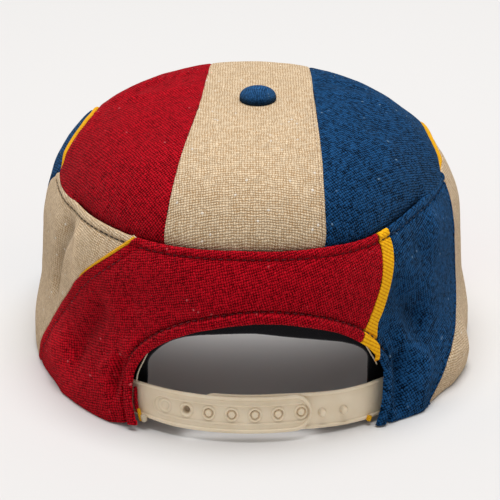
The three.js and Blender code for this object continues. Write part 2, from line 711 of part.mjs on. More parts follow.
function strapOuter() {
  const { count, blind, radius, overcut } = SNAP_HOLES;
  let body = solid(strip(STRAP_OUTER.from, STRAP_OUTER.to, STRAP.foot, outerDepth));
  for (let i = 0; i < count; i += 1) {
    const through = i < blind ? STRAP.thickness / 2 : STRAP.thickness + overcut;
    body = body.subtract(solid(pin(snapBearing(i), radius, STRAP.depth - overcut, STRAP.depth + through)));
  }
  return fromSolid(body);
}
function strapInner() {
  const foot = STRAP.foot + STRAP_INNER.lift;
  const { count, first, radius, shortBy } = SNAP_PEGS;
  const proud = STRAP.thickness + STRAP.gap - shortBy;
  let body = solid(strip(STRAP_INNER.to, STRAP_INNER.from, foot, innerDepth));
  for (let i = first; i < first + count; i += 1) {
    const bearing = snapBearing(i);
    const root = innerDepth(bearing) + STRAP.thickness / 2;
    body = body.add(solid(pin(bearing, radius, root, innerDepth(bearing) - proud)));
  }
  return fromSolid(body);
}

// Domed button with a narrower foot
function buttonGeometry() {
  const { radius, height, waist, steps, sides } = BUTTON;
  const outline = [new THREE.Vector2(0, 0), new THREE.Vector2(radius * waist, 0)];
  const spring = height * BUTTON.spring;
  for (let i = 0; i <= steps; i += 1) {
    const turn = (Math.PI / 2) * (i / steps);
    outline.push(new THREE.Vector2(radius * Math.cos(turn), spring + (height - spring) * Math.sin(turn)));
  }
  outline[outline.length - 1].x = 0;
  return weld(new THREE.LatheGeometry(outline, sides).rotateX(Math.PI / 2));
}

const hat = new THREE.Group();
function add(name, geometry, colour, roughness = CLOTH_ROUGHNESS) {
  const material = new THREE.MeshStandardMaterial({ color: COLOURS[colour], roughness, metalness: 0 });
  const mesh = new THREE.Mesh(geometry, material);
  mesh.name = name;
  hat.add(mesh);
  return mesh;
}

// Cloth pieces: their spots, grid, depths of the two faces, and colour
const sweatbandSpot = (u, v) =>
  flat(lerp(SWEATBAND.from, SWEATBAND.to, u), lerp(SWEATBAND.foot, SWEATBAND.head, v));
const crownWall = { outer: CROWN_SINK, inner: CROWN_SINK + CLOTH };
const plainWall = { outer: 0, inner: CLOTH };
const hemmedWall = { outer: 0, inner: hemDepth };
const tapeWall = { outer: -TAPE_PROUD, inner: hemDepth };
const facingWall = { outer: facingDepth, inner: (spot) => facingDepth(spot) + FACING.thickness };
const sweatbandWall = { outer: SWEATBAND.depth, inner: SWEATBAND.depth + SWEATBAND.thickness };
const PIECES = [
  { name: 'crown_red', spots: crownRed, grid: [16, 12], depths: crownWall, colour: 'red' },
  { name: 'crown_beige', spots: crownBeige, grid: [9, 18], depths: crownWall, colour: 'beige' },
  { name: 'crown_blue', spots: crownBlue, grid: [16, 12], depths: crownWall, colour: 'blue' },
  { name: 'band_beige', spots: bandBeige, grid: [12, 13], depths: plainWall, colour: 'beige' },
  { name: 'band_red', spots: bandRed, grid: [38, 7], depths: hemmedWall, colour: 'red' },
  { name: 'band_blue', spots: bandBlue, grid: [11, 16], depths: hemmedWall, colour: 'blue' },
  { name: 'band_tape', spots: bandTape, grid: [3, 16], depths: tapeWall, colour: 'yellow' },
  { name: 'front_blue', spots: frontBlue, grid: [10, 13], depths: plainWall, colour: 'blue' },
  { name: 'front_red', spots: frontRed, grid: [24, 8], depths: plainWall, colour: 'red' },
  { name: 'front_beige', spots: frontBeige, grid: [11, 16], depths: plainWall, colour: 'beige' },
  { name: 'arch_facing', spots: facingSpot, grid: [34, 3], depths: facingWall, colour: 'black' },
  { name: 'sweatband', spots: sweatbandSpot, grid: [40, 2], depths: sweatbandWall, colour: 'black' },
];
PIECES.forEach(({ name, spots, grid, depths, colour }) => add(name, cloth(spots, grid, depths), colour));

const bandPipingHead = crownSeamHeight(seamTop.redBeige) - BAND_PIPING.head;
add('crown_piping', cord(run(frontSeam, END_CLEAR, 1 - END_CLEAR), PIPING), 'yellow');
add('band_piping', cord(run(redBeige, BAND_PIPING.foot, bandPipingHead), BAND_PIPING), 'yellow');
add('strap_outer', strapOuter(), 'plastic', PLASTIC_ROUGHNESS);
add('strap_inner', strapInner(), 'plastic', PLASTIC_ROUGHNESS);
const button = add('button', buttonGeometry(), 'blue');
button.position.set(BUTTON.x, BUTTON.y + MIDDLE_Y, CROWN_TOP - CROWN_SINK + SEAM_GAP);

export default hat;
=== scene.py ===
"""A soft pillbox hat seen from the back: cloth panels, piping, tape, facing, button and snap strap."""
import math

import bpy
import numpy as np
from mathutils import Matrix, Vector


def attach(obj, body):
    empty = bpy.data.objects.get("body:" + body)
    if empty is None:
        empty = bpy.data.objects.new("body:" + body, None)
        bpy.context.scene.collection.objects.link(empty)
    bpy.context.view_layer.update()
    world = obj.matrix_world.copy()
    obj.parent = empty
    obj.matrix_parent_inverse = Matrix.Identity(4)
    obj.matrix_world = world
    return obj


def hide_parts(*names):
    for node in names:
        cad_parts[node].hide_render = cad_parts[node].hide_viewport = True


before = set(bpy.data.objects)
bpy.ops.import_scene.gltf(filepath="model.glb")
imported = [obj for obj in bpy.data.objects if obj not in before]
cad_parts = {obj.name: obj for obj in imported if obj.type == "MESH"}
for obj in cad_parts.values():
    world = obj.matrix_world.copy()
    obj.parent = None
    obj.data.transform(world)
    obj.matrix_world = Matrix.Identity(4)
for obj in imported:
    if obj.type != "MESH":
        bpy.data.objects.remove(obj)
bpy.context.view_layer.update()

# Sizes of the hat in millimetres, bearings in degrees: 0 at the back, 90 at +X, 180 at the front
MM = 0.001
LENGTH_RATIO = 1.12
MIDDLE_Y = -2.4
CROWN_TOP = 111.1
CROWN_ROUND_ACROSS = 3.1
CROWN_ROUND_UP = 1.92
CLOTH = 2.0
CROWN_SINK = 0.8
CROWN_PUFF = 1.6
CROWN_TUCK = 1.0
TUCK_FADE = 8
SUNK_UNTIL = 60
PEAK_BEARING = 81.5
PEAK_HEIGHT = 82.6
ARCH_CENTRE = 2.5
ARCH_HALF_SPAN = 33.1
ARCH_FOOT_SPAN = 31.5
RIGHT_FOOT_SPAN = 30.0
ARCH_SPRING = 23
ARCH_RISE = 30.7
ARCH_FULLNESS = 1.78
ARCH_LEG = 0.14
LEFT_CORNER = 2.6
RIGHT_CORNER = 0.6
CORNER_REACH = 9
LEFT_EASE = 2.0
RIGHT_EASE = 1.2
PIPING_WIDTH = 2.3
BAND_PIPING_WIDTH = 1.5
STRAP_HALF_WIDTH = 96.9
STRAP_FOOT = 4
STRAP_HEIGHT = 16
STRAP_THICKNESS = 1.5
STRAP_DEPTH = 3.9
STRAP_LEAN = 0.12
STRAP_GAP = 0.3
SNAP_PITCH = 10.25
SNAP_FIRST = -22.8
SNAPS = 9
OUTER_HOLES = 7
STRAP_WALL = 1.3
BUTTON_PLACE = (3.4, -3.0)
BUTTON_RADIUS = 8
BUTTON_FOOT = 2.6
BUTTON_UP = 4.6
BUTTON_DOWN = 3.0
BUTTON_ROUND_ACROSS = 0.8
BUTTON_ROUND_UP = 0.85
BUTTON_SHADE = 0.85
BUTTON_SHADE_ENDS = (-0.15, 0.55)
FACING_WALL = 0.9
SWEATBAND_WALL = 1.0
MEAN_RADIUS = 101
HAT_MIDDLE = Vector((0, MIDDLE_Y * MM, 0.03))
CROWN_STEPS = 1500
BATCH = 2000
# The cloth's broad unevenness, and the painted shade that darkens its hollows, stitched grooves and crown
# seam, with painted light on its bulges
SWELL_RISE = 0.7
SWELL_BREADTH = 16
PAINTED_SHADE_DEPTH = 14
PAINTED_SHADE_LIMITS = (-0.3, 0.35)
GROOVE_SHADE = 0.16
SEAM_SHADE = 0.24
SEAM_SHADE_REACH = 24
# The raise of the right shoulder: where it runs on the front seam, its breadth, and its height on each side
SHOULDER_SHARES = (0.56, 0.88)
SHOULDER_RISE = [(0, 0), (0.45, 1), (0.6, 1), (0.85, 0.58), (1, 0.3)]
SHOULDER_BREADTH = 9
FRONT_SHOULDER = 6.8
CROWN_SHOULDER = 3.4

# Columns: height, half width
BAND_PROFILE = [(0, 97), (5, 97.1), (14, 96.8), (32, 93.4), (56, 91.6)]
# Columns: bearing, height
CROWN_SEAM = [
    (-PEAK_BEARING, PEAK_HEIGHT), (-33.6, 81.4), (0, 82.2), (33.6, 80.9), (56, 83.5),
    (PEAK_BEARING, PEAK_HEIGHT),
]
# Columns: height, bearing
RED_BEIGE_SEAM = [(0, -75), (13.6, -70.5), (43.1, -57.9), (60.6, -48.7), (81.4, -33.6)]
LEFT_FRONT_SEAM = [(0, -110), (40, -102), (70, -91), (PEAK_HEIGHT, -PEAK_BEARING)]
RIGHT_FRONT_SEAM = [
    (0, 48.6), (8, 54.6), (15, 59.2), (25, 68.8), (36, 75.4), (60, 76.6),
    (PEAK_HEIGHT, PEAK_BEARING),
]
TAPE_LEFT = [(31, 27.7), (39.9, 29.8), (48.8, 32.8), (61.4, 36.4), (74, 38.2), (83.3, 38.1)]
TAPE_RIGHT = [(31, 31), (39.9, 33.4), (48.8, 36.8), (61.4, 39.8), (74, 42.2), (83.3, 42.0)]
TAPE_BEND = 45
TAPE_FOOT = (29.3, 34.7)
TAPE_HEAD = (TAPE_LEFT[-1][1], TAPE_RIGHT[-1][1])
RED_BEIGE_HEAD = RED_BEIGE_SEAM[-1][1]
# Columns: distance forward, offset to the right
STRIP_LEFT = [(-90, -36.6), (-64.6, -31.2), (-21.7, -23.9), (10, -20.5), (90, -16.5)]
STRIP_RIGHT = [(-90, 31.2), (-64.6, 30.2), (-21.7, 28.8), (10, 27.9), (90, 26.7)]
# Columns: offset to the right, distance forward, from the left peak round the front to the right peak
FRONT_SEAM = [
    (-76.5, 0), (-71.9, 7.8), (-69.7, 17), (-69.2, 34), (-68, 51), (-61, 64),
    (-46, 76), (-24, 84.5), (0, 88), (24, 86.5), (47, 77.5), (63, 65),
    (72.5, 53), (76.3, 42), (77.8, 30), (79.6, 14), (81.8, -2),
]
# Columns: bearing and height where a fold starts, the same where it ends, half breadth, rise
FOLDS = [
    (48, 4, 70, 8, 20, 3.3),
    (-61, 76, -54, 58, 7, -1.6),
    (-49, 76, -51, 60, 6, 0.9),
    (-100, 97, -128, 104, 7, 0.5),
    (-84, 91, -95, 97, 6, 1.0),
    (84, 90, 108, 104, 9, 1.0),
    (38, 40, 42, 22, 8, -1.4),
    (55, 62, 60, 30, 14, 0.8),
]
# Small creases of the cloth, in the same columns
CREASES = [
    (-96.7, 99.5, -125, 106.5, 3, -1.19),
    (-125, 106.5, -148, 109, 3, -1.02),
    (-99, 101, -101.5, 106, 3, 0.85),
    (-101.5, 106, -114, 110.3, 3, 0.85),
    (-62, 107, -58, 107, 7, -0.85),
    (127, 109, 114, 105.5, 3, -1.02),
    (114, 105.5, 113, 97, 3, -1.02),
    (106, 109.5, 100, 103, 4, 0.85),
    (72, 104.5, 75, 104, 7, -1.02),
    (61, 100.5, 64, 100, 6, 0.68),
    (-62, 70, -66, 42, 5, -3.8),
    (-55, 71, -54, 55, 5, 2.0),
    (-43.4, 44.7, -50.1, 23.6, 7, -3.0),
    (-57.6, 21.4, -60, 19, 10, 2.4),
    (-40, 23, -31.5, 36.5, 4, 1.4),
    (-35, 28.5, -36.1, 16, 4, -2.9),
    (60.6, 73.8, 61.5, 72, 6, 1.7),
    (52.4, 67.4, 53, 66, 7, -2.1),
    (54, 51, 56, 50, 6, 1),
    (48.4, 41.7, 50, 40, 8, -4.3),
    (43.1, 32.7, 49.4, 20, 5, 1.9),
    (41.4, 24.8, 38.8, 8, 4, -2.6),
    (46, 15, 48, 14, 7, 1.2),
]


# The hat's form

def curve(table):
    """A smooth curve through a table's two columns."""
    x, y = np.array(table, float).T
    slope = np.empty_like(y)
    slope[1:-1] = (y[2:] - y[:-2]) / (x[2:] - x[:-2])
    slope[0] = (y[1] - y[0]) / (x[1] - x[0])
    slope[-1] = (y[-1] - y[-2]) / (x[-1] - x[-2])

    def at(value):
        value = np.asarray(value, float)
        i = np.clip(np.searchsorted(x, value) - 1, 0, len(x) - 2)
        step = x[i + 1] - x[i]
        t = np.clip((value - x[i]) / step, 0, 1)
        ease = t * t * (3 - 2 * t)
        bow = step * t * (1 - t)
        return y[i] + (y[i + 1] - y[i]) * ease + bow * (slope[i] * (1 - t) - slope[i + 1] * t)

    return at


def smooth(value, low, high):
    """0 below low, 1 above high, eased between them."""
    t = np.clip((np.asarray(value, float) - low) / (high - low), 0, 1)
    return t * t * (3 - 2 * t)


def around(value, middle, breadth):
    """1 at the middle value, fading to both sides of it."""
    return np.exp(-(((value - middle) / breadth) ** 2))


def unit(vectors):
    return vectors / np.linalg.norm(vectors, axis=-1, keepdims=True)


def running_length(line):
    """Distance along a line of points, from its start to each of them."""
    return np.concatenate([[0], np.cumsum(np.linalg.norm(np.diff(line, axis=0), axis=1))])


def hat_profile():
    """Distance from the apex, half width and height, from the apex down to the rim."""
    wall_height, wall_width = BAND_PROFILE[-1]
    turn = np.linspace(np.pi / 2, 0, CROWN_STEPS)
    across = np.maximum(np.cos(turn), 0) ** (2 / CROWN_ROUND_ACROSS)
    across[0] = 0
    up = np.sin(turn) ** (2 / CROWN_ROUND_UP)
    heights = np.arange(wall_height - 0.25, -0.01, -0.25)
    width = np.concatenate([wall_width * across, curve(BAND_PROFILE)(heights)])
    height = np.concatenate([wall_height + (CROWN_TOP - wall_height) * up, heights])
    return running_length(np.column_stack([width, height])), width, height


DISTANCE, WIDTH, HEIGHT = hat_profile()
RIM = DISTANCE[-1]
WIDTH_SLOPE = np.gradient(WIDTH, DISTANCE)
HEIGHT_SLOPE = np.gradient(HEIGHT, DISTANCE)
CROWN_ROWS = slice(0, CROWN_STEPS)


def polar(distance, bearing):
    """A spot of the cloth laid flat as a disc: the apex in the middle, the back at -Y."""
    turn = np.radians(bearing)
    return np.stack([np.sin(turn) * distance, -np.cos(turn) * distance], -1)


def flat(bearing, height):
    bearing, height = np.broadcast_arrays(np.asarray(bearing, float), np.asarray(height, float))
    return polar(np.interp(-height, -HEIGHT, DISTANCE), bearing)


def flat_from_plan(x, y):
    away = y / LENGTH_RATIO
    distance = np.interp(np.hypot(x, away), WIDTH[CROWN_ROWS], DISTANCE[CROWN_ROWS])
    return polar(distance, np.degrees(np.arctan2(x, -away)))


def fold_rise(spot, folds=FOLDS):
    """Rise of the cloth's folds at each spot."""
    total = np.zeros(spot.shape[:-1])
    for from_bearing, from_height, to_bearing, to_height, breadth, rise in folds:
        start, end = flat(from_bearing, from_height), flat(to_bearing, to_height)
        along = end - start
        share = np.clip(((spot - start) @ along) / (along @ along), 0, 1)
        away = np.linalg.norm(spot - start - share[..., None] * along, axis=-1)
        total += rise * around(away, 0, breadth)
    return total


def outward(spot):
    """Outward normal of the hat at each spot."""
    distance = np.minimum(np.linalg.norm(spot, axis=-1), RIM)
    turn = np.arctan2(spot[..., 0], -spot[..., 1])
    width_slope = np.interp(distance, DISTANCE, WIDTH_SLOPE)
    height_slope = np.interp(distance, DISTANCE, HEIGHT_SLOPE)
    normal = np.stack([
        -LENGTH_RATIO * np.sin(turn) * height_slope,
        np.cos(turn) * height_slope,
        LENGTH_RATIO * width_slope,
    ], -1)
    return unit(normal)


def skin(spot, lift=0.0):
    """Point of the hat's face at each spot, lifted along the normal."""
    distance = np.minimum(np.linalg.norm(spot, axis=-1), RIM)
    turn = np.arctan2(spot[..., 0], -spot[..., 1])
    width = np.interp(distance, DISTANCE, WIDTH)
    point = np.stack([
        width * np.sin(turn),
        -LENGTH_RATIO * width * np.cos(turn),
        np.interp(distance, DISTANCE, HEIGHT),
    ], -1)
    point += outward(spot) * np.asarray(fold_rise(spot) + lift)[..., None]
    point[..., 1] += MIDDLE_Y
    point[..., 2] = np.maximum(point[..., 2], 0)
    return point


def height_of(spot):
    return np.interp(np.minimum(np.linalg.norm(spot, axis=-1), RIM), DISTANCE, HEIGHT)


# Seams as lines of spots

arch_left, arch_right = ARCH_CENTRE - ARCH_FOOT_SPAN, ARCH_CENTRE + RIGHT_FOOT_SPAN
crown_seam_height = curve(CROWN_SEAM)
peak_width = np.interp(-PEAK_HEIGHT, -HEIGHT, WIDTH)
peak_x = peak_width * math.sin(math.radians(PEAK_BEARING))
peak_y = -LENGTH_RATIO * peak_width * math.cos(math.radians(PEAK_BEARING))


def crown_seam(bearing):
    return flat(bearing, crown_seam_height(bearing))


def crown_under(bearing):
    """Lower edge of the crown's cloth, tucked under the band except at the peaks."""
    tuck = CROWN_TUCK * (1 - smooth(np.abs(bearing), PEAK_BEARING - TUCK_FADE, PEAK_BEARING))
    return flat(bearing, crown_seam_height(bearing) - tuck)


def rim(bearing):
    return polar(RIM, bearing)


def rim_by_arch(bearing):
    """The rim beside the opening, where the corners of the cloth are drawn up."""
    bearing = np.asarray(bearing, float)
    corner = np.where(bearing < ARCH_CENTRE, LEFT_CORNER, RIGHT_CORNER)
    away = np.where(bearing < ARCH_CENTRE, arch_left - bearing, bearing - arch_right)
    return flat(bearing, corner * (1 - smooth(away, 0, CORNER_REACH)))


def seam_up(table):
    bearing = curve(table)
    return lambda height: flat(bearing(height), height)


red_beige = seam_up(RED_BEIGE_SEAM)
left_front = seam_up(LEFT_FRONT_SEAM)
right_front = seam_up(RIGHT_FRONT_SEAM)
tape_left = seam_up(TAPE_LEFT)
tape_right = seam_up(TAPE_RIGHT)


front_points = np.array([(-peak_x, peak_y), *FRONT_SEAM, (peak_x, peak_y)])
front_travel = running_length(front_points)
front_shares = front_travel / front_travel[-1]
front_x = curve(np.column_stack([front_shares, front_points[:, 0]]))
front_y = curve(np.column_stack([front_shares, front_points[:, 1]]))


def front_seam(share):
    return flat_from_plan(front_x(share), front_y(share))


def front_share_at(x):
    shares = np.linspace(0, 1, 4001)
    return float(np.interp(x, front_x(shares), shares))


def arch(share):
    """Edge of the opening, from the rim on the left over the arch to the rim on the right."""
    share = np.asarray(share, float)
    turn = np.clip(np.pi * (share - ARCH_LEG) / (1 - 2 * ARCH_LEG), 0, np.pi)
    power = 2 / ARCH_FULLNESS
    across = np.sign(np.cos(turn)) * np.abs(np.cos(turn)) ** power
    leg = np.minimum(np.minimum(share, 1 - share) / ARCH_LEG, 1)
    corner = np.where(share < 0.5, LEFT_CORNER, RIGHT_CORNER)
    height = corner + (ARCH_SPRING - corner) * leg + ARCH_RISE * np.maximum(np.sin(turn), 0) ** power
    foot_span = np.where(share < 0.5, ARCH_FOOT_SPAN, RIGHT_FOOT_SPAN)
    ease = np.where(share < 0.5, LEFT_EASE, RIGHT_EASE)
    span = ARCH_HALF_SPAN - (ARCH_HALF_SPAN - foot_span) * (1 - leg) ** ease
    return flat(ARCH_CENTRE - span * across, height)


def arch_share_at(bearing):
    across = (bearing - ARCH_CENTRE) / ARCH_HALF_SPAN
    turn = math.pi - math.acos(across ** (ARCH_FULLNESS / 2))
    return ARCH_LEG + (1 - 2 * ARCH_LEG) * turn / math.pi


def run(edge, start, end):
    return lambda share: edge(start + (end - start) * np.asarray(share, float))


def straight(start, end):
    return lambda share: start + (end - start) * np.asarray(share, float)[..., None]


def chain(*pieces):
    """Several runs end to end, each ending at its own share of the whole."""
    def at(share):
        share = np.asarray(share, float)
        spots = np.empty(share.shape + (2,))
        begin = 0.0
        for edge, until in pieces:
            here = (share >= begin) & (share <= until)
            spots[here] = edge((share[here] - begin) / (until - begin))
            begin = until
        return spots
    return at


def strip_edge(x_at, bearing, share):
    back = -LENGTH_RATIO * np.interp(np.linalg.norm(crown_under(bearing)), DISTANCE, WIDTH)
    back = back * math.cos(math.radians(bearing))
    front = float(front_y(share))

    def at(v):
        y = back + (front - back) * (1 - np.cos(np.pi * np.asarray(v, float))) / 2
        spots = flat_from_plan(x_at(y), y)
        spots[np.asarray(v) <= 0] = crown_under(bearing)
        spots[np.asarray(v) >= 1] = front_seam(share)
        return spots

    return at


# Bearings of the strip's corners at the back, and how far forward it ends
STRIP_BACK = (-25.2, 21.5)
STRIP_FRONT = (86, 85)
SPLIT_SHARES = (0.24, 0.87)
SPLIT_RIMS = (-146, 116)
RIM_SEAMS = {
    "left_front": LEFT_FRONT_SEAM[0][1],
    "red_beige": RED_BEIGE_SEAM[0][1],
    "right_front": RIGHT_FRONT_SEAM[0][1],
}
CROWN_TURNS = (0.2, 0.8)
RED_SIDE_TOP = 61
strip_sides = (curve(STRIP_LEFT), curve(STRIP_RIGHT))
strip_front = [front_share_at(float(x_at(y))) for x_at, y in zip(strip_sides, STRIP_FRONT)]
strip_left, strip_right = (strip_edge(*side) for side in zip(strip_sides, STRIP_BACK, strip_front))
tape_share = [arch_share_at(bearing) for bearing in TAPE_FOOT]
tape_left_foot = straight(arch(tape_share[0]), tape_left(TAPE_BEND))
tape_right_foot = straight(arch(tape_share[1]), tape_right(TAPE_BEND))
red_beige_top = float(crown_seam_height(RED_BEIGE_HEAD))
tape_tops = [float(crown_seam_height(bearing)) for bearing in TAPE_HEAD]
split_left = straight(rim(SPLIT_RIMS[0]), front_seam(SPLIT_SHARES[0]))
split_right = straight(rim(SPLIT_RIMS[1]), front_seam(SPLIT_SHARES[1]))

# How a panel's edge is finished: radius and drop of its rounded edge, rise of the ridge beside it,
# distance, depth and half width of the stitched groove, and rise, reach and closeness of its puckers
EDGE_COLUMNS = ("roll", "drop", "ridge", "stitch", "groove", "width", "pucker", "reach", "close")
EDGE_ROWS = {
    "seam": (1.1, 0.9, 0.0, 0.0, 0.0, 1.0, 0.12, 3.5, 1.0),
    "piped": (1.4, 1.3, 0.0, 0.0, 0.0, 1.0, 0.1, 3.5, 1.0),
    "tucked": (4.0, 2.2, 0.0, 0.0, 0.0, 1.0, 0.1, 3.5, 1.0),
    "sunk": (8.5, 3.0, 0.0, 0.0, 0.0, 1.0, 0.3, 7.0, 2.1),
    "slope": (24.0, 2.2, 0.0, 0.0, 0.0, 1.0, 0.0, 7.0, 1.0),
    "fold": (1.4, 1.4, 0.6, 3.6, 0.75, 0.7, 0.22, 3.5, 1.0),
    "lap": (1.2, 1.2, 0.3, 2.4, 0.3, 0.6, 0.1, 3.0, 1.0),
    "felled": (1.0, 0.8, 0.3, 4.4, 0.4, 0.8, 0.15, 3.5, 1.0),
    "hem": (1.6, 1.4, 1.4, 5.0, 1.3, 0.9, 0.25, 3.5, 1.0),
    "deep_hem": (1.8, 1.6, 1.9, 5.2, 2.0, 1.0, 0.3, 3.5, 1.0),
    "rim": (0.8, 0.4, 0.0, 0.0, 0.0, 1.0, 0.0, 3.5, 1.0),
    "tape": (0.7, 0.7, 0.0, 0.0, 0.0, 1.0, 0.08, 3.5, 1.0),
}
RIDGE_END = (-0.9, 0.3)
PUCKER_START = (0.3, 1.8)
EDGES = {finish: dict(zip(EDGE_COLUMNS, row)) for finish, row in EDGE_ROWS.items()}

RIGHT_FOOT_BULGE = (38, 2, 45, 2, 10, 2.6)

# Each panel's four edges with their finishes, its grid, the sink of its face, and its cloth; its shades rows
# are painted shade, or painted light where their rise is positive
PANELS = {
    "crown_red": dict(
        bottom=(run(crown_under, STRIP_BACK[0], -PEAK_BEARING), "seam"),
        extra=[(run(crown_under, STRIP_BACK[0], -SUNK_UNTIL), kind) for kind in ("sunk", "slope")],
        top=(run(front_seam, strip_front[0], CROWN_TURNS[0]), "tucked"),
        left=(strip_left, "seam"),
        right=(run(front_seam, 0, CROWN_TURNS[0]), "tucked"),
        grid=(150, 130), sink=CROWN_SINK - CROWN_PUFF, cloth="red", layout="crown",
    ),
    "crown_beige": dict(
        bottom=(run(crown_under, *STRIP_BACK), "sunk"),
        extra=[(run(crown_under, *STRIP_BACK), "slope")],
        top=(run(front_seam, *strip_front), "tucked"),
        left=(strip_left, "seam"),
        right=(strip_right, "seam"),
        grid=(100, 190), sink=CROWN_SINK - CROWN_PUFF, cloth="beige", layout="strip",
    ),
    "crown_blue": dict(
        bottom=(run(crown_under, STRIP_BACK[1], PEAK_BEARING), "seam"),
        extra=[(run(crown_under, STRIP_BACK[1], SUNK_UNTIL), kind) for kind in ("sunk", "slope")],
        top=(run(front_seam, strip_front[1], CROWN_TURNS[1]), "tucked"),
        left=(strip_right, "seam"),
        right=(run(front_seam, 1, CROWN_TURNS[1]), "tucked"),
        shoulder=CROWN_SHOULDER,
        grid=(150, 130), sink=CROWN_SINK - CROWN_PUFF, cloth="blue", layout="crown",
    ),
    "band_beige": dict(
        bottom=(run(rim, RIM_SEAMS["left_front"], RIM_SEAMS["red_beige"]), "rim"),
        top=(run(crown_seam, -PEAK_BEARING, RED_BEIGE_HEAD), "fold"),
        left=(run(left_front, 0, PEAK_HEIGHT), "seam"),
        right=(run(red_beige, 0, red_beige_top), "seam"),
        grid=(120, 150), sink=0.0, cloth="beige", layout="band",
    ),
    "band_red": dict(
        bottom=(run(arch, 0, tape_share[0]), "hem"),
        top=(chain(
            (run(red_beige, 0, red_beige_top), 0.38),
            (run(crown_seam, RED_BEIGE_HEAD, TAPE_HEAD[0]), 0.9),
            (run(tape_left, tape_tops[0], RED_SIDE_TOP), 1.0),
        ), None),
        left=(run(rim_by_arch, arch_left, RIM_SEAMS["red_beige"]), "rim"),
        right=(chain((tape_left_foot, 0.3), (run(tape_left, TAPE_BEND, RED_SIDE_TOP), 1.0)), "seam"),
        extra=[
            (run(red_beige, 0, red_beige_top), "felled"),
            (run(crown_seam, RED_BEIGE_HEAD, TAPE_HEAD[0]), "fold"),
            (run(tape_left, tape_tops[0], RED_SIDE_TOP), "seam"),
        ],
        swells=[(-54, 2, -38, 2, 12, 1.8), (-32, 56, -20, 60, 9, -1.5)],
        # Painted light: the lower left of the red band is made lighter
        shades=[(-66, 16, -52, 5, 13, 3.6)],
        grid=(300, 110), sink=0.0, cloth="red", layout="band",
    ),
    "band_blue": dict(
        bottom=(run(rim_by_arch, arch_right, RIM_SEAMS["right_front"]), "rim"),
        top=(run(crown_seam, TAPE_HEAD[1], PEAK_BEARING), "fold"),
        left=(chain(
            (run(arch, 1, tape_share[1]), 0.4),
            (tape_right_foot, 0.55),
            (run(tape_right, TAPE_BEND, tape_tops[1]), 1.0),
        ), None),
        right=(run(right_front, 0, PEAK_HEIGHT), "lap"),
        extra=[
            (run(arch, 1, tape_share[1]), "deep_hem"),
            (chain((tape_right_foot, 0.3), (run(tape_right, TAPE_BEND, tape_tops[1]), 1.0)), "seam"),
        ],
        swells=[RIGHT_FOOT_BULGE, (43, 54, 44, 48, 8, -2.6)],
        # Painted shade: two patches of the blue band are made darker
        shades=[(43, 54, 44, 46, 10, -2.6), (40, 22, 48, 6, 12, -1.8)],
        grid=(120, 190), sink=0.0, cloth="blue", layout="band",
    ),
    "band_tape": dict(
        bottom=(run(arch, *tape_share), "hem"),
        top=(run(crown_seam, *TAPE_HEAD), "fold"),
        left=(chain((tape_left_foot, 0.15), (run(tape_left, TAPE_BEND, tape_tops[0]), 1.0)), "tape"),
        right=(chain((tape_right_foot, 0.25), (run(tape_right, TAPE_BEND, tape_tops[1]), 1.0)), "tape"),
        grid=(24, 190), sink=-0.35, cloth="yellow", layout="band",
    ),
    "front_blue": dict(
        bottom=(run(rim, RIM_SEAMS["left_front"], SPLIT_RIMS[0]), "rim"),
        top=(run(front_seam, 0, SPLIT_SHARES[0]), "piped"),
        left=(run(left_front, 0, PEAK_HEIGHT), "seam"),
        right=(split_left, "seam"),
        swells=[(-90, 86, -106, 94, 10, 2.2)],
        grid=(90, 150), sink=0.0, cloth="blue", layout="band",
    ),
    "front_red": dict(
        bottom=(run(rim, SPLIT_RIMS[0] + 360, SPLIT_RIMS[1]), "rim"),
        top=(run(front_seam, *SPLIT_SHARES), "piped"),
        left=(split_left, "seam"),
        right=(split_right, "seam"),
        shoulder=FRONT_SHOULDER,
        grid=(190, 150), sink=0.0, cloth="red", layout="front",
    ),
    "front_beige": dict(
        bottom=(run(rim, SPLIT_RIMS[1], RIM_SEAMS["right_front"]), "rim"),
        top=(run(front_seam, SPLIT_SHARES[1], 1), "piped"),
        left=(split_right, "seam"),
        right=(run(right_front, 0, PEAK_HEIGHT), "seam"),
        shoulder=FRONT_SHOULDER,
        swells=[RIGHT_FOOT_BULGE, (61, 8, 69, 8, 10, 2.0), (86, 6, 94, 6, 10, 1.3), (90, 68, 92, 24, 14, 2.0),
                (89, 84, 100, 92, 9, 1.5)],
        grid=(120, 150), sink=0.0, cloth="beige", layout="band",
    ),
}


def crowded(count):
    """Shares from 0 to 1, closer together towards both ends."""
    t = np.linspace(0, 1, count)
    return t - 0.135 * np.sin(2 * np.pi * t)


def patch(bottom, top, left, right, us, vs):
    """Spots of a four-sided patch between its edges."""
    u, v = us[None, :, None], vs[:, None, None]
    ends = np.array([0.0, 1.0])
    (foot_left, foot_right), (head_left, head_right) = bottom(ends), top(ends)
    across = (1 - v) * bottom(us)[None] + v * top(us)[None]
    upward = (1 - u) * left(vs)[:, None] + u * right(vs)[:, None]
    low = (1 - u) * foot_left + u * foot_right
    high = (1 - u) * head_left + u * head_right
    return across + upward - (1 - v) * low - v * high


def along_line(points, line):
    """Distance of each point from a line in space, and how far along the line it lies."""
    travelled = running_length(line)
    tangent = np.gradient(line, axis=0)
    tangent /= np.linalg.norm(tangent, axis=1, keepdims=True) + 1e-9
    away, along = np.empty(len(points)), np.empty(len(points))
    for start in range(0, len(points), BATCH):
        part = slice(start, start + BATCH)
        square = ((points[part, None] - line[None]) ** 2).sum(-1)
        nearest = square.argmin(1)
        offset = points[part] - line[nearest]
        ahead = (offset * tangent[nearest]).sum(1)
        inner = (nearest > 0) & (nearest < len(line) - 1)
        square_away = (offset ** 2).sum(1) - np.where(inner, ahead ** 2, 0)
        away[part] = np.sqrt(np.maximum(square_away, 0))
        along[part] = travelled[nearest] + ahead
    return away, along


def ripple(along):
    """Uneven wave along a seam."""
    return (np.sin(along * 0.93 + 0.6) + np.sin(along * 0.57 + 2.1) + 0.7 * np.sin(along * 1.61)) / 2.7


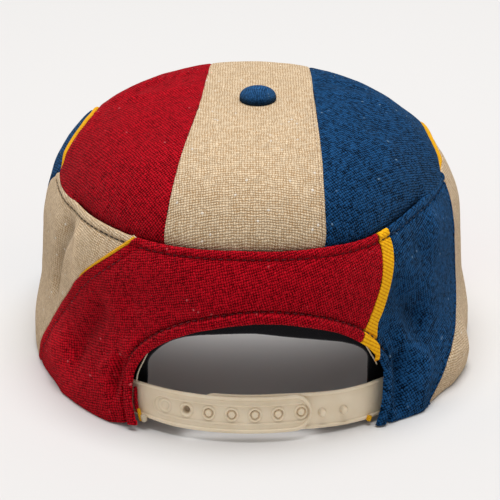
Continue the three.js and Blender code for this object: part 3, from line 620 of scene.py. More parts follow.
def edge_lift(points, edge, finish):
    """Rise of the cloth beside one finished edge, and the depth of its stitched groove."""
    line = skin(edge(np.linspace(0, 1, 500)))
    away, along = along_line(points, line)
    kind = EDGES[finish]
    inside = np.clip(1 - away / kind["roll"], 0, 1)
    lift = -kind["drop"] * (1 - np.sqrt(1 - inside ** 2))
    groove = kind["groove"] * around(away, kind["stitch"], kind["width"])
    if kind["stitch"]:
        lift += kind["ridge"] * (1 - smooth(away - kind["stitch"], *RIDGE_END)) - groove
    reach = around(away, kind["stitch"], kind["reach"])
    pucker = kind["pucker"] * reach * ripple(along * kind["close"])
    return lift + pucker * smooth(away, *PUCKER_START), groove


def cloth_layout(layout, spots, points):
    """Place of each vertex on the woven cloth, in millimetres."""
    if layout == "crown":
        return spots
    if layout == "strip":
        return np.stack([points[..., 0], spots[..., 1]], -1)
    bearing = np.degrees(np.arctan2(spots[..., 0], -spots[..., 1]))
    if layout == "front":
        bearing = np.where(bearing < 0, bearing + 360, bearing)
    return np.stack([np.radians(bearing) * MEAN_RADIUS, RIM - np.linalg.norm(spots, axis=-1)], -1)


# Working with Blender's tools

def deselect():
    if bpy.context.mode != "OBJECT":
        bpy.ops.object.mode_set(mode="OBJECT")
    bpy.ops.object.select_all(action="DESELECT")


def active(piece):
    deselect()
    bpy.context.view_layer.objects.active = piece
    piece.select_set(True)
    return piece


def apply_modifier(piece, kind, **settings):
    active(piece)
    modifier = piece.modifiers.new(kind.title(), kind)
    for key, value in settings.items():
        setattr(modifier, key, value)
    bpy.ops.object.modifier_apply(modifier=modifier.name)


def in_edit_mode(piece, *steps):
    """Runs edit-mode operators on the whole mesh."""
    active(piece)
    bpy.ops.object.mode_set(mode="EDIT")
    bpy.ops.mesh.select_all(action="SELECT")
    for step, settings in steps:
        step(**settings)
    bpy.ops.object.mode_set(mode="OBJECT")


def vertex_places(mesh):
    place = np.empty(len(mesh.vertices) * 3)
    mesh.vertices.foreach_get("co", place)
    return place.reshape(-1, 3)


def set_map(mesh, layout):
    """Writes each vertex's place on the cloth to the piece's map."""
    corner = np.empty(len(mesh.loops), int)
    mesh.loops.foreach_get("vertex_index", corner)
    mesh.uv_layers[0].data.foreach_set("uv", layout[corner].ravel())


def set_measure(mesh, key, values):
    mesh.attributes.new(key, "FLOAT", "POINT").data.foreach_set("value", values.ravel())


def shaped_grid(name, points, layout, **measures):
    """A grid whose vertices are moved to points[row, column], with a map of its place and named measures."""
    rows, columns = points.shape[:2]
    deselect()
    bpy.ops.mesh.primitive_grid_add(x_subdivisions=columns - 1, y_subdivisions=rows - 1, size=2)
    piece = bpy.context.object
    piece.name = piece.data.name = name
    mesh = piece.data
    place = vertex_places(mesh)
    column = np.rint((place[:, 0] + 1) / 2 * (columns - 1)).astype(int)
    row = np.rint((place[:, 1] + 1) / 2 * (rows - 1)).astype(int)
    mesh.vertices.foreach_set("co", (points[row, column] * MM).ravel())
    set_map(mesh, layout[row, column])
    for key, values in measures.items():
        set_measure(mesh, key, values[row, column])
    mesh.update()
    return piece


def face_out(piece, inside):
    """Turns the faces so that they look away from a point inside."""
    mesh = piece.data
    looks = sum((face.center - inside).dot(face.normal) * face.area for face in mesh.polygons)
    if looks < 0:
        in_edit_mode(piece, (bpy.ops.mesh.flip_normals, {}))


def sheet(name, points, layout, thickness, unevenness=None, **measures):
    """A shaped grid with its face outwards and the thickness of a wall inwards."""
    piece = shaped_grid(name, points, layout, **measures)
    face_out(piece, HAT_MIDDLE)
    if unevenness:
        settings = dict(texture=unevenness, texture_coords="LOCAL", strength=SWELL_RISE * MM)
        apply_modifier(piece, "DISPLACE", **settings)
    apply_modifier(piece, "SOLIDIFY", thickness=thickness * MM, offset=-1)
    return piece


def rest_on_floor(piece):
    """Lifts what dips below the floor."""
    place = vertex_places(piece.data)
    place[:, 2] = np.maximum(place[:, 2], 0)
    piece.data.vertices.foreach_set("co", place.ravel())
    piece.data.update()


def finish_piece(piece, material, slot, *nodes, angle=50):
    """Smooth shading, material, body, and the solids that the piece stands for; the slot is not used."""
    active(piece)
    bpy.ops.object.shade_smooth_by_angle(angle=math.radians(angle))
    piece.data.materials.clear()
    piece.data.materials.append(material)
    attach(piece, "root")
    if nodes:
        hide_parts(*nodes)
    return piece


cloth_swell = bpy.data.textures.new("cloth_swell", "CLOUDS")
cloth_swell.noise_scale = SWELL_BREADTH * MM
cloth_swell.noise_depth = 2


def shoulder_at(points):
    """1 along the right shoulder, where the front stands higher than the crown, fading around it."""
    line = skin(front_seam(np.linspace(*SHOULDER_SHARES, 100)))
    away, along = along_line(points.reshape(-1, 3), line)
    high = curve(SHOULDER_RISE)(np.clip(along / running_length(line)[-1], 0, 1))
    return (high * around(away, 0, SHOULDER_BREADTH)).reshape(points.shape[:-1])


def cloth_panel(name, spec, material):
    edges = [spec[side] for side in ("bottom", "top", "left", "right")]
    spots = patch(*(edge for edge, _ in edges), crowded(spec["grid"][0]), crowded(spec["grid"][1]))
    face = skin(spots)
    lift = fold_rise(spots, CREASES + spec.get("swells", [])) - spec["sink"]
    # Painted shade and painted light in the colour: darker in dents and stitched grooves, lighter on ridges
    hollow = np.clip(-fold_rise(spots, CREASES + spec.get("shades", [])) / PAINTED_SHADE_DEPTH, *PAINTED_SHADE_LIMITS)
    for edge, kind in edges + spec.get("extra", []):
        if kind:
            rise, groove = edge_lift(face.reshape(-1, 3), edge, kind)
            lift += rise.reshape(lift.shape)
            hollow += GROOVE_SHADE * groove.reshape(lift.shape)
    points = skin(spots, lift)
    points[..., 2] += spec.get("shoulder", 0) * shoulder_at(face)
    # Painted shade: the crown's colour darker towards its seam with the band
    if name.startswith("crown"):
        seam_line = skin(crown_seam(np.linspace(-PEAK_BEARING, PEAK_BEARING, 400)))
        away, _ = along_line(face.reshape(-1, 3), seam_line)
        hollow += SEAM_SHADE * around(away, 0, SEAM_SHADE_REACH).reshape(hollow.shape)
    layout = cloth_layout(spec["layout"], spots, face)
    piece = sheet(name + "_cloth", points, layout, CLOTH, cloth_swell, hollow=hollow)
    rest_on_floor(piece)
    return finish_piece(piece, material, CLOTH_SLOTS[spec["cloth"]], name)


# Finishes

# How the canvas is woven: drift and wobble of its threads with the scales and shifts of their noise, slubs,
# mottling, the heights where gaps end and threads are full, and broad shades
DRIFT, DRIFT_SCALE, DRIFT_SHIFTS = 1.6, 0.2, ((0, 0, 0), (31, 17, 0))
WOBBLE_SCALE, WOBBLE_SHIFTS = 0.9, ((5, 9, 0), (12, 3, 0))
THREAD_APART, SLUB_SCALE, SLUB = 3.7, 0.16, (0.78, 1.16)
MOTTLE, MOTTLE_SCALE = 0.3, 1.7
GAP_AND_THREAD = (0.12, 0.76)
CLOUD_SCALE, CLOUD_SHADE = 0.05, 0.94
SATIN = (0.4, 0.58)


def new_finish(name):
    material = bpy.data.materials.new(name)
    material.use_nodes = True
    tree = material.node_tree
    return material, tree, tree.nodes["Principled BSDF"]


def add_node(tree, kind, inputs=(), **settings):
    """A shader node with its settings made and its inputs set or linked."""
    node = tree.nodes.new(kind)
    for key, value in settings.items():
        setattr(node, key, value)
    for key, value in dict(inputs).items():
        if isinstance(value, bpy.types.NodeSocket):
            tree.links.new(value, node.inputs[key])
        else:
            node.inputs[key].default_value = value
    return node


def calc(tree, operation, *values):
    return add_node(tree, "ShaderNodeMath", enumerate(values), operation=operation).outputs[0]


def blend_colour(tree, share, first, second, kind="MIX"):
    inputs = {0: share, 6: first, 7: second}
    return add_node(tree, "ShaderNodeMix", inputs, data_type="RGBA", blend_type=kind).outputs[2]


def noise_at(tree, vector, scale, detail=2.0, shift=(0, 0, 0)):
    mapped = add_node(tree, "ShaderNodeMapping", {"Vector": vector, "Location": shift}).outputs[0]
    inputs = {"Vector": mapped, "Scale": scale, "Detail": detail}
    return add_node(tree, "ShaderNodeTexNoise", inputs).outputs[0]


def limits(tree, value, low, high, bottom=0.0, top=1.0):
    """The bottom value below low, the top value above high."""
    inputs = {"Value": value, "From Min": low, "From Max": high, "To Min": bottom, "To Max": top}
    return add_node(tree, "ShaderNodeMapRange", inputs).outputs[0]


def plus(tree, value, factor, other):
    return calc(tree, "MULTIPLY_ADD", value, factor, other)


def thread_wave(tree, place, pitch):
    """Height across a thread of that pitch, and the thread's number."""
    wave = calc(tree, "SINE", calc(tree, "MULTIPLY", place, math.pi / pitch))
    return wave, calc(tree, "FLOOR", calc(tree, "DIVIDE", place, pitch))


def thread_height(tree, wave, on_top, thread, along, far):
    """Height of one set of threads, with thick and thin places along each thread."""
    number, place = calc(tree, "MULTIPLY", thread, THREAD_APART), calc(tree, "MULTIPLY", along, SLUB_SCALE)
    spot = add_node(tree, "ShaderNodeCombineXYZ", {0: number, 1: place, 2: far}).outputs[0]
    thick = add_node(tree, "ShaderNodeTexNoise", {"Vector": spot, "Scale": 1.0, "Detail": 2.0}).outputs[0]
    height = calc(tree, "MULTIPLY", calc(tree, "ABSOLUTE", wave), on_top)
    return calc(tree, "MULTIPLY", height, limits(tree, thick, 0.3, 0.7, *SLUB))


def clouded(tree, colour, place, scale, shade):
    """Broad lighter and darker patches."""
    clouds = limits(tree, noise_at(tree, place, scale, 3), 0.3, 0.75)
    darker = blend_colour(tree, 1.0, colour, (shade, shade, shade, 1), "MULTIPLY")
    return blend_colour(tree, clouds, colour, darker)


def dress(tree, shader, colour, height, strength, depth, **sockets):
    """Joins colour and bump to the shader, and sets the sockets that are the same all over."""
    bump = add_node(tree, "ShaderNodeBump", {"Strength": strength, "Distance": depth, "Height": height})
    tree.links.new(colour, shader.inputs["Base Color"])
    tree.links.new(bump.outputs[0], shader.inputs["Normal"])
    for name, value in sockets.items():
        shader.inputs[name.replace("_", " ")].default_value = value


def canvas_finish(name, light, dark, fleck, pitch, tilt, wobble, uneven, flecked):
    """Canvas: threads that pass over and under each other, dark gaps between them, and pale flecks."""
    material, tree, shader = new_finish(name)
    place = add_node(tree, "ShaderNodeUVMap").outputs[0]
    place = add_node(tree, "ShaderNodeMapping", {"Vector": place, "Rotation": (0, 0, tilt)}).outputs[0]
    across, along = add_node(tree, "ShaderNodeSeparateXYZ", {0: place}).outputs[:2]
    for scale, reach, shifts in (DRIFT_SCALE, DRIFT, DRIFT_SHIFTS), (WOBBLE_SCALE, wobble, WOBBLE_SHIFTS):
        across = plus(tree, noise_at(tree, place, scale, shift=shifts[0]), reach, across)
        along = plus(tree, noise_at(tree, place, scale, shift=shifts[1]), reach, along)
    warp, warp_thread = thread_wave(tree, across, pitch)
    weft, weft_thread = thread_wave(tree, along, pitch)
    over = plus(tree, calc(tree, "MULTIPLY", warp, weft), 0.5, 0.5)
    under = calc(tree, "SUBTRACT", 1.0, over)
    threads = (warp, over, warp_thread, along, 0.0), (weft, under, weft_thread, across, 9.0)
    heights = [thread_height(tree, *thread) for thread in threads]
    weave = calc(tree, "MAXIMUM", *heights)
    crossing = add_node(tree, "ShaderNodeCombineXYZ", {0: warp_thread, 1: weft_thread}).outputs[0]
    chance = add_node(tree, "ShaderNodeTexWhiteNoise", {"Vector": crossing}).outputs[0]
    lightness = plus(tree, calc(tree, "SUBTRACT", chance, 0.5), uneven, weave)
    mottle = calc(tree, "SUBTRACT", noise_at(tree, place, MOTTLE_SCALE), 0.5)
    lightness = plus(tree, mottle, MOTTLE * uneven, lightness)
    colour = blend_colour(tree, limits(tree, lightness, *GAP_AND_THREAD), dark, light)
    colour = clouded(tree, colour, place, CLOUD_SCALE, CLOUD_SHADE)
    # Painted shade and painted light: the colour is multiplied by one minus the panel's painted shade measure
    hollow = add_node(tree, "ShaderNodeAttribute", attribute_name="hollow").outputs["Fac"]
    colour = blend_colour(tree, 1.0, colour, calc(tree, "SUBTRACT", 1.0, hollow), "MULTIPLY")
    pale = calc(tree, "MULTIPLY", limits(tree, chance, 1.0 - 2 * flecked, 1.0 - flecked), weave)
    colour = blend_colour(tree, pale, colour, fleck)
    dress(tree, shader, colour, plus(tree, chance, 0.3, weave), 1.0, 0.0006, Roughness=1.0,
          Specular_IOR_Level=0.03, Sheen_Weight=0.28, Sheen_Roughness=0.3, Sheen_Tint=fleck)
    return material


def trim_finish(name, light, dark, pitch, tilt):
    """Narrow cotton tape: a close slanted weave."""
    material, tree, shader = new_finish(name)
    place = add_node(tree, "ShaderNodeUVMap").outputs[0]
    turned = add_node(tree, "ShaderNodeMapping", {"Vector": place, "Rotation": (0, 0, tilt)}).outputs[0]
    along, across = add_node(tree, "ShaderNodeSeparateXYZ", {0: turned}).outputs[:2]
    rib = calc(tree, "ABSOLUTE", calc(tree, "SINE", calc(tree, "MULTIPLY", across, math.pi / pitch)))
    cross = calc(tree, "ABSOLUTE", calc(tree, "SINE", calc(tree, "MULTIPLY", along, math.pi / (1.5 * pitch))))
    weave = calc(tree, "MULTIPLY", rib, calc(tree, "MULTIPLY_ADD", cross, 0.45, 0.55))
    worn = noise_at(tree, place, 0.9, 3)
    colour = blend_colour(tree, limits(tree, calc(tree, "ADD", weave, worn), 0.45, 1.2), dark, light)
    dress(tree, shader, colour, weave, 0.7, 0.0003, Roughness=0.85, Specular_IOR_Level=0.08)
    return material


def plastic_finish(name, light, dark, dirt_and_shade_colour):
    """Satin moulded plastic, a little yellowed, with soil and painted shade in its hollows."""
    material, tree, shader = new_finish(name)
    place = add_node(tree, "ShaderNodeTexCoord").outputs["Object"]
    tone = limits(tree, noise_at(tree, place, 90, 4), 0.35, 0.8)
    colour = blend_colour(tree, tone, light, dark)
    # Soil and painted shade in the strap's hollows, mixed in with the last colour
    hollow = add_node(tree, "ShaderNodeAttribute", attribute_name="hollow").outputs["Fac"]
    patchy = limits(tree, noise_at(tree, place, 260, 3), 0.3, 0.7, 0.55, 1.0)
    colour = blend_colour(tree, calc(tree, "MULTIPLY", hollow, patchy), colour, dirt_and_shade_colour)
    grain = noise_at(tree, place, 900, 2)
    dress(tree, shader, colour, grain, 0.15, 0.0002, Specular_IOR_Level=0.35, Subsurface_Weight=0.12,
          Subsurface_Radius=(0.002, 0.0014, 0.0009))
    tree.links.new(limits(tree, grain, 0.0, 1.0, *SATIN), shader.inputs["Roughness"])
    return material


def thread_finish(name, colour):
    """Twisted sewing thread."""
    material, tree, shader = new_finish(name)
    place = add_node(tree, "ShaderNodeTexCoord").outputs["Object"]
    twist = noise_at(tree, place, 1500, 2)
    pale = tuple(min(1.0, 1.5 * channel) for channel in colour[:3]) + (1,)
    shade = blend_colour(tree, limits(tree, twist, 0.35, 0.7), colour, pale)
    dress(tree, shader, shade, twist, 0.4, 0.0002, Roughness=0.8)
    return material


CLOTH_SLOTS = {"red": "red_cloth", "beige": "beige_cloth", "blue": "blue_cloth", "yellow": "yellow_trim"}
RED = (0.68, 0.007, 0.02, 1), (0.075, 0.0006, 0.0018, 1), (0.75, 0.14, 0.15, 1)
BLUE = (0.016, 0.094, 0.258, 1), (0.0006, 0.0035, 0.01, 1), (0.18, 0.3, 0.43, 1)
BUTTON_BLUE = (0.036, 0.155, 0.4, 1), (0.004, 0.02, 0.055, 1), (0.22, 0.36, 0.5, 1)
BEIGE = (1.0, 0.79, 0.54, 1), (0.53, 0.32, 0.15, 1), (0.98, 0.92, 0.84, 1)
# Columns: light, dark and fleck colours, thread pitch, turn of the threads, wobble, unevenness, flecks
CLOTHS = {
    ("red", "crown"): canvas_finish("crown_red_canvas", *RED, 1.12, math.radians(-30), 0.7, 0.34, 0.0012),
    ("red", "band"): canvas_finish("band_red_canvas", *RED, 1.12, math.radians(-14), 0.8, 0.36, 0.0012),
    ("blue", "crown"): canvas_finish("crown_blue_canvas", *BLUE, 1.12, math.radians(46), 0.7, 0.6, 0.002),
    ("blue", "band"): canvas_finish("band_blue_canvas", *BLUE, 1.12, math.radians(-18), 0.8, 0.6, 0.002),
    ("beige", "strip"): canvas_finish("crown_beige_canvas", *BEIGE, 1.12, 0.0, 0.35, 0.36, 0.004),
    ("beige", "band"): canvas_finish("band_beige_canvas", *BEIGE, 1.0, math.radians(8), 0.4, 0.32, 0.004),
    ("yellow", "band"): trim_finish("yellow_tape", (1.0, 0.52, 0.012, 1), (0.66, 0.25, 0.003, 1), 1.4,
                                    math.radians(35)),
}
CLOTHS["red", "front"] = CLOTHS["red", "band"]
button_canvas = canvas_finish("button_canvas", *BUTTON_BLUE, 0.9, 0.0, 0.5, 0.4, 0.002)
yellow_cord = trim_finish("yellow_piping", (0.95, 0.5, 0.02, 1), (0.6, 0.26, 0.006, 1), 0.7, math.radians(40))
black_tape = trim_finish("black_tape", (0.014, 0.014, 0.016, 1), (0.004, 0.004, 0.005, 1), 0.8,
                         math.radians(45))
# Painted highlight: a grey cord where the black facing's edge would catch light
grey_highlight_cord = trim_finish("grey_painted_highlight", (0.075, 0.075, 0.08, 1), (0.03, 0.03, 0.032, 1), 0.5, 0.0)
cream_edge = trim_finish("cream_binding", (0.8, 0.7, 0.53, 1), (0.5, 0.41, 0.29, 1), 0.6, math.radians(30))
# The last colour is the soil and painted shade in the strap's hollows
strap_plastic = plastic_finish("strap_satin", (0.95, 0.81, 0.61, 1), (0.86, 0.71, 0.5, 1),
                               (0.24, 0.15, 0.08, 1))
dark_thread = thread_finish("dark_thread", (0.05, 0.035, 0.025, 1))
red_thread = thread_finish("red_thread", (0.12, 0.003, 0.007, 1))
blue_thread = thread_finish("blue_thread", (0.03, 0.06, 0.12, 1))
tan_thread = thread_finish("tan_thread", (0.3, 0.2, 0.12, 1))

# Cloth panels

for name, spec in PANELS.items():
    cloth_panel(name, spec, CLOTHS[spec["cloth"], spec["layout"]])


# Cords and bindings

def tube(name, path, radius, material, slot, *nodes, sides=14):
    """A round cord along a path, its radius a number or one for each point, with closed ends."""
    path = np.asarray(path, float)
    radius = np.broadcast_to(radius, len(path))
    tangent = unit(np.gradient(path, axis=0))
    side = unit(np.cross(tangent, (0, 0, 1)))
    up = np.cross(side, tangent)
    turn = np.linspace(0, 2 * np.pi, sides + 1)
    ring = np.cos(turn)[None, :, None] * side[:, None] + np.sin(turn)[None, :, None] * up[:, None]
    points = path[:, None] + ring * radius[:, None, None]
    round_way = turn[None] * radius[:, None]
    layout = np.stack([np.broadcast_to(running_length(path)[:, None], round_way.shape), round_way], -1)
    piece = shaped_grid(name, points, layout)
    in_edit_mode(
        piece,
        (bpy.ops.mesh.remove_doubles, dict(threshold=1e-6)),
        (bpy.ops.mesh.fill_holes, dict(sides=0)),
        (bpy.ops.mesh.normals_make_consistent, dict(inside=False)),
    )
    return finish_piece(piece, material, slot, *nodes, angle=60)


PIPING_SINK, PIPING_LIFT, PIPING_END = 0.6, 1.1, 0.03
PIPING_FOOT, PIPING_FULL = 57, 79
piping_share = np.linspace(0, 1, 260)
piping_spots = front_seam(piping_share)
piping_free = smooth(np.minimum(piping_share, 1 - piping_share), 0, PIPING_END)
piping_lift = fold_rise(piping_spots, CREASES) - PIPING_SINK + PIPING_LIFT * piping_free
piping_points = skin(piping_spots, piping_lift)
piping_points[:, 2] += CROWN_SHOULDER * shoulder_at(piping_points)
tube("crown_piping_cord", piping_points, PIPING_WIDTH / 2 * (0.5 + 0.5 * piping_free),
     yellow_cord, "yellow_trim", "crown_piping")
piping_height = np.linspace(PIPING_FOOT, red_beige_top - 0.4, 120)
piping_spots = red_beige(piping_height)
tube("band_piping_cord", skin(piping_spots, fold_rise(piping_spots, CREASES)),
     BAND_PIPING_WIDTH / 2 * (0.4 + 0.6 * smooth(piping_height, PIPING_FOOT, PIPING_FULL)),
     yellow_cord, "yellow_trim", "band_piping")


# Facing, sweatband and bindings round the opening

def beside(edge, share, offset):
    """Spots at a true distance to the left of an edge, measured on the hat."""
    step = 1e-3
    line = edge(share)
    point = skin(line)
    ahead = skin(edge(np.clip(share + step, 0, 1))) - skin(edge(np.clip(share - step, 0, 1)))
    sideways = np.cross(outward(line), unit(ahead))
    nudge = 0.05
    slope = np.stack([(skin(line + np.array(way) * nudge) - point) / nudge for way in ((1, 0), (0, 1))], -1)
    square = np.einsum("nki,nkj->nij", slope, slope)
    goal = np.einsum("nki,nk->ni", slope, sideways * np.broadcast_to(offset, len(line))[:, None])
    return line + np.linalg.solve(square, goal[..., None])[..., 0]


# Columns: share of the arch, how far the facing shows past its edge
FACING_REACH = [
    (0, 1.2), (0.16, 1.2), (0.22, 0.9), (0.28, 0.6), (0.33, 1.2), (0.42, 4.4), (0.5, 6.0),
    (0.57, 6.6), (0.64, 5.4), (0.7, 3.0), (0.76, 0.9), (0.83, 0.8), (1, 0.8),
]
FACING_ENDS, FACING_COLUMNS = (0.012, 0.988), 240
FACING_DEPTH, FACING_BEHIND_STRAP = 3.8, 4.8
STRAP_CLEAR = (2.2, 13.2)
facing_share = np.linspace(*FACING_ENDS, FACING_COLUMNS)
facing_reach = curve(FACING_REACH)(facing_share)


def facing_depth(spots):
    over_strap = smooth(height_of(spots) - STRAP_FOOT - STRAP_HEIGHT, *STRAP_CLEAR)
    return FACING_DEPTH + FACING_BEHIND_STRAP * (1 - over_strap)


def facing_row(offset):
    spots = beside(arch, facing_share, offset)
    long = np.linalg.norm(spots, axis=-1, keepdims=True)
    return spots * np.minimum(1, (RIM - 1) / long)


facing_inset = np.concatenate([[0, 0.25, 0.7], np.linspace(1.5, 10, 9)])
facing_rows = [facing_row(inset - facing_reach) for inset in facing_inset]
facing_spots = np.stack(facing_rows)
facing_edge = np.array([-0.5, -0.15] + [0.0] * (len(facing_inset) - 2))[:, None]
facing_points = skin(facing_spots, facing_edge - facing_depth(facing_spots))
facing_layout = cloth_layout("band", facing_spots, facing_points)
facing = sheet("arch_facing_tape", facing_points, facing_layout, FACING_WALL)
finish_piece(facing, black_tape, "black_facing", "arch_facing")
# Painted highlight along the facing's inner edge, as a grey cord
highlight_line = facing_row(-facing_reach)
tube("arch_facing_painted_highlight", skin(highlight_line, -facing_depth(highlight_line) - 0.3), 0.22, grey_highlight_cord,
     "black_facing", sides=8)


def edging(name, shares, offset, depth, radius, material, slot):
    """A narrow folded edge that shows inside the opening along part of the arch."""
    share = np.linspace(*shares, 60)
    ends = np.sqrt(np.clip(1 - np.abs(np.linspace(-1, 1, 60)) ** 8, 0.05, 1))
    spots = beside(arch, share, offset(share))
    tube(name, skin(spots, -depth), radius * ends, material, slot, sides=10)


def at_offset(offset):
    return lambda share: np.full_like(share, offset)


# Columns: name, shares of the arch, offset from its edge, depth below the face, radius, finish, slot
EDGINGS = [
    ("cream_binding_left", (0.125, 0.235), curve([(0.125, -0.3), (0.2, -0.35), (0.235, 0.5)]), 2.3, 0.32,
     cream_edge, "strap_plastic"),
    ("cream_binding_right", (0.755, 0.83), curve([(0.755, 0.5), (0.79, -0.3), (0.83, -0.2)]), 2.3, 0.3,
     cream_edge, "strap_plastic"),
    ("red_inner_fold", (0.03, 0.112), at_offset(0.5), 2.8, 0.9, CLOTHS["red", "band"], "red_cloth"),
    ("yellow_tab_left", (0.004, 0.044), at_offset(-0.5), 2.6, 0.8, yellow_cord, "yellow_trim"),
    ("cream_tab_left", (0.003, 0.026), at_offset(-2.4), 2.6, 1.3, cream_edge, "strap_plastic"),
    ("yellow_tab_right", (0.98, 0.996), at_offset(-1.4), 2.8, 1.1, yellow_cord, "yellow_trim"),
]
for row in EDGINGS:
    edging(*row)

# The sweatband runs from the right of the opening round the front, with a sewn line near its top
SWEAT_BEARINGS, SWEAT_HEIGHTS, SWEAT_GRID = (52, 313), (1.4, 33), (300, 24)
SWEAT_DEPTH, SWEAT_LINE, SWEAT_LINE_DEPTH, SWEAT_LINE_WIDTH = 2.6, 30, 0.25, 0.8
sweat_bearing = np.linspace(*SWEAT_BEARINGS, SWEAT_GRID[0])
sweat_height = np.linspace(*SWEAT_HEIGHTS, SWEAT_GRID[1])
sweat_spots = flat(sweat_bearing[None], sweat_height[:, None])
sweat_line = SWEAT_LINE_DEPTH * around(sweat_height, SWEAT_LINE, SWEAT_LINE_WIDTH)
sweat_lift = -SWEAT_DEPTH - sweat_line[:, None]
sweat_points = skin(sweat_spots, sweat_lift + np.minimum(0, fold_rise(sweat_spots, CREASES)))
sweat_layout = cloth_layout("front", sweat_spots, sweat_points)
sweatband = sheet("sweatband_tape", sweat_points, sweat_layout, SWEATBAND_WALL)
finish_piece(sweatband, black_tape, "black_facing", "sweatband")


# Rows of stitches

def stitch_row(name, edge, ends, offset, lift, material, slot, pitch=3.2, length=2.3, width=0.55):
    """One stitch is modelled and copied along a line beside an edge."""
    share = np.linspace(*ends, 600)
    spots = beside(edge, share, offset)
    line = skin(spots, lift + fold_rise(spots, CREASES))
    travelled = running_length(line)
    deselect()
    bpy.ops.mesh.primitive_uv_sphere_add(segments=8, ring_count=6, radius=1)
    stitch = bpy.context.object
    stitch.data.transform(Matrix.Diagonal((length / 2 * MM, width / 2 * MM, width / 2 * MM, 1)))
    normals = outward(spots)
    copies = []
    for i, middle in enumerate(np.arange(pitch / 2, travelled[-1], pitch)):
        at = int(np.searchsorted(travelled, middle))
        forward = Vector(line[min(at + 4, len(line) - 1)] - line[max(at - 4, 0)]).normalized()
        up = Vector(normals[at])
        side = up.cross(forward).normalized()
        sway = 0.06 * math.sin(i * 2.4)
        forward = (forward + side * sway).normalized()
        side = up.cross(forward).normalized()
        place = Matrix((forward, side, forward.cross(side))).transposed().to_4x4()
        place.translation = Vector(line[at]) * MM
        copy = stitch.copy()
        copy.data = stitch.data.copy()
        copy.data.transform(place)
        bpy.context.collection.objects.link(copy)
        copies.append(copy)
    bpy.data.objects.remove(stitch)
    active(copies[0])
    for copy in copies:
        copy.select_set(True)
    bpy.ops.object.join()
    copies[0].name = name
    return finish_piece(copies[0], material, slot)


FOLD_STITCH, HEM_STITCH, FELLED_STITCH = (EDGES[kind]["stitch"] for kind in ("fold", "hem", "felled"))
STRIP_STITCH = 1.9
# Columns: name, edge, shares where the row starts and ends, offset, lift, thread, slot
STITCH_ROWS = [
    ("beige_fold_stitches", run(crown_seam, -PEAK_BEARING, RED_BEIGE_HEAD), (0.03, 0.97),
     -FOLD_STITCH, -0.45, dark_thread, "black_facing"),
    ("red_fold_stitches", run(crown_seam, RED_BEIGE_HEAD, TAPE_HEAD[0]), (0.02, 0.99),
     -FOLD_STITCH, -0.5, red_thread, "red_cloth"),
    ("tape_fold_stitches", run(crown_seam, *TAPE_HEAD), (0.04, 0.96),
     -FOLD_STITCH, -0.2, dark_thread, "black_facing"),
    ("blue_fold_stitches", run(crown_seam, TAPE_HEAD[1], PEAK_BEARING), (0.02, 0.95),
     -FOLD_STITCH, -0.45, blue_thread, "blue_cloth"),
    ("red_hem_stitches", arch, (0.02, tape_share[0]), HEM_STITCH, -0.6, red_thread, "red_cloth"),
    ("tape_hem_stitches", arch, tape_share, HEM_STITCH, -0.3, dark_thread, "black_facing"),
    ("blue_hem_stitches", arch, (tape_share[1], 0.98), HEM_STITCH, -0.5, blue_thread, "blue_cloth"),
    ("red_seam_stitches", run(red_beige, 0, red_beige_top), (0.03, 0.93),
     -FELLED_STITCH, -0.3, red_thread, "red_cloth"),
    ("strip_seam_stitches", strip_right, (0.06, 0.5),
     STRIP_STITCH, CROWN_PUFF - CROWN_SINK, tan_thread, "beige_cloth"),
]
for row in STITCH_ROWS:
    stitch_row(*row)


# Button on the crown

deselect()
bpy.ops.mesh.primitive_uv_sphere_add(segments=72, ring_count=40, radius=1)
button = bpy.context.object
button.name = button.data.name = "button_cloth"
ball = vertex_places(button.data)
flatness = np.hypot(ball[:, 0], ball[:, 1])
spread = np.maximum(flatness, 1e-6)
across = flatness ** BUTTON_ROUND_ACROSS
upward = np.abs(ball[:, 2]) ** BUTTON_ROUND_UP * np.where(ball[:, 2] > 0, BUTTON_UP, -BUTTON_DOWN)
button_points = np.stack([
    BUTTON_PLACE[0] + ball[:, 0] / spread * across * BUTTON_RADIUS,
    BUTTON_PLACE[1] + MIDDLE_Y + ball[:, 1] / spread * across * BUTTON_RADIUS,
    CROWN_TOP - CROWN_SINK + BUTTON_FOOT + upward,
], -1)
button.data.vertices.foreach_set("co", (button_points * MM).ravel())
from_top = np.arccos(np.clip(ball[:, 2], -1, 1)) * BUTTON_RADIUS
set_map(button.data, ball[:, :2] / spread[:, None] * from_top[:, None])
# Painted shade: the button's colour darker towards its underside
set_measure(button.data, "hollow", BUTTON_SHADE * (1 - smooth(ball[:, 2], *BUTTON_SHADE_ENDS)))
button.data.update()
finish_piece(button, button_canvas, "blue_cloth", "button", angle=80)


# Snap strap

def strap_point(bearing, height, depth):
    turn = np.radians(bearing)
    normal = unit(np.stack([LENGTH_RATIO * np.sin(turn), -np.cos(turn), np.zeros_like(turn)], -1))
    point = np.stack([
        STRAP_HALF_WIDTH * np.sin(turn),
        -LENGTH_RATIO * STRAP_HALF_WIDTH * np.cos(turn) + MIDDLE_Y,
        height,
    ], -1)
    return point - normal * (depth + STRAP_LEAN * (height - STRAP_FOOT))[..., None]


def strap_arc(bearing):
    turn = np.radians(bearing)
    return STRAP_HALF_WIDTH * np.hypot(np.cos(turn), LENGTH_RATIO * np.sin(turn))


STRAP_GRID, STRAP_CROWDING = (440, 110), 1.2
strap_bearings = np.linspace(-50, 60, 2201)
strap_steps = np.radians(np.diff(strap_bearings)) * strap_arc(strap_bearings[1:])
strap_travel = np.concatenate([[0], np.cumsum(strap_steps)])


def travel_at(bearing):
    return np.interp(bearing, strap_bearings, strap_travel)


snap_travel = travel_at(SNAP_FIRST) + SNAP_PITCH * np.arange(SNAPS)


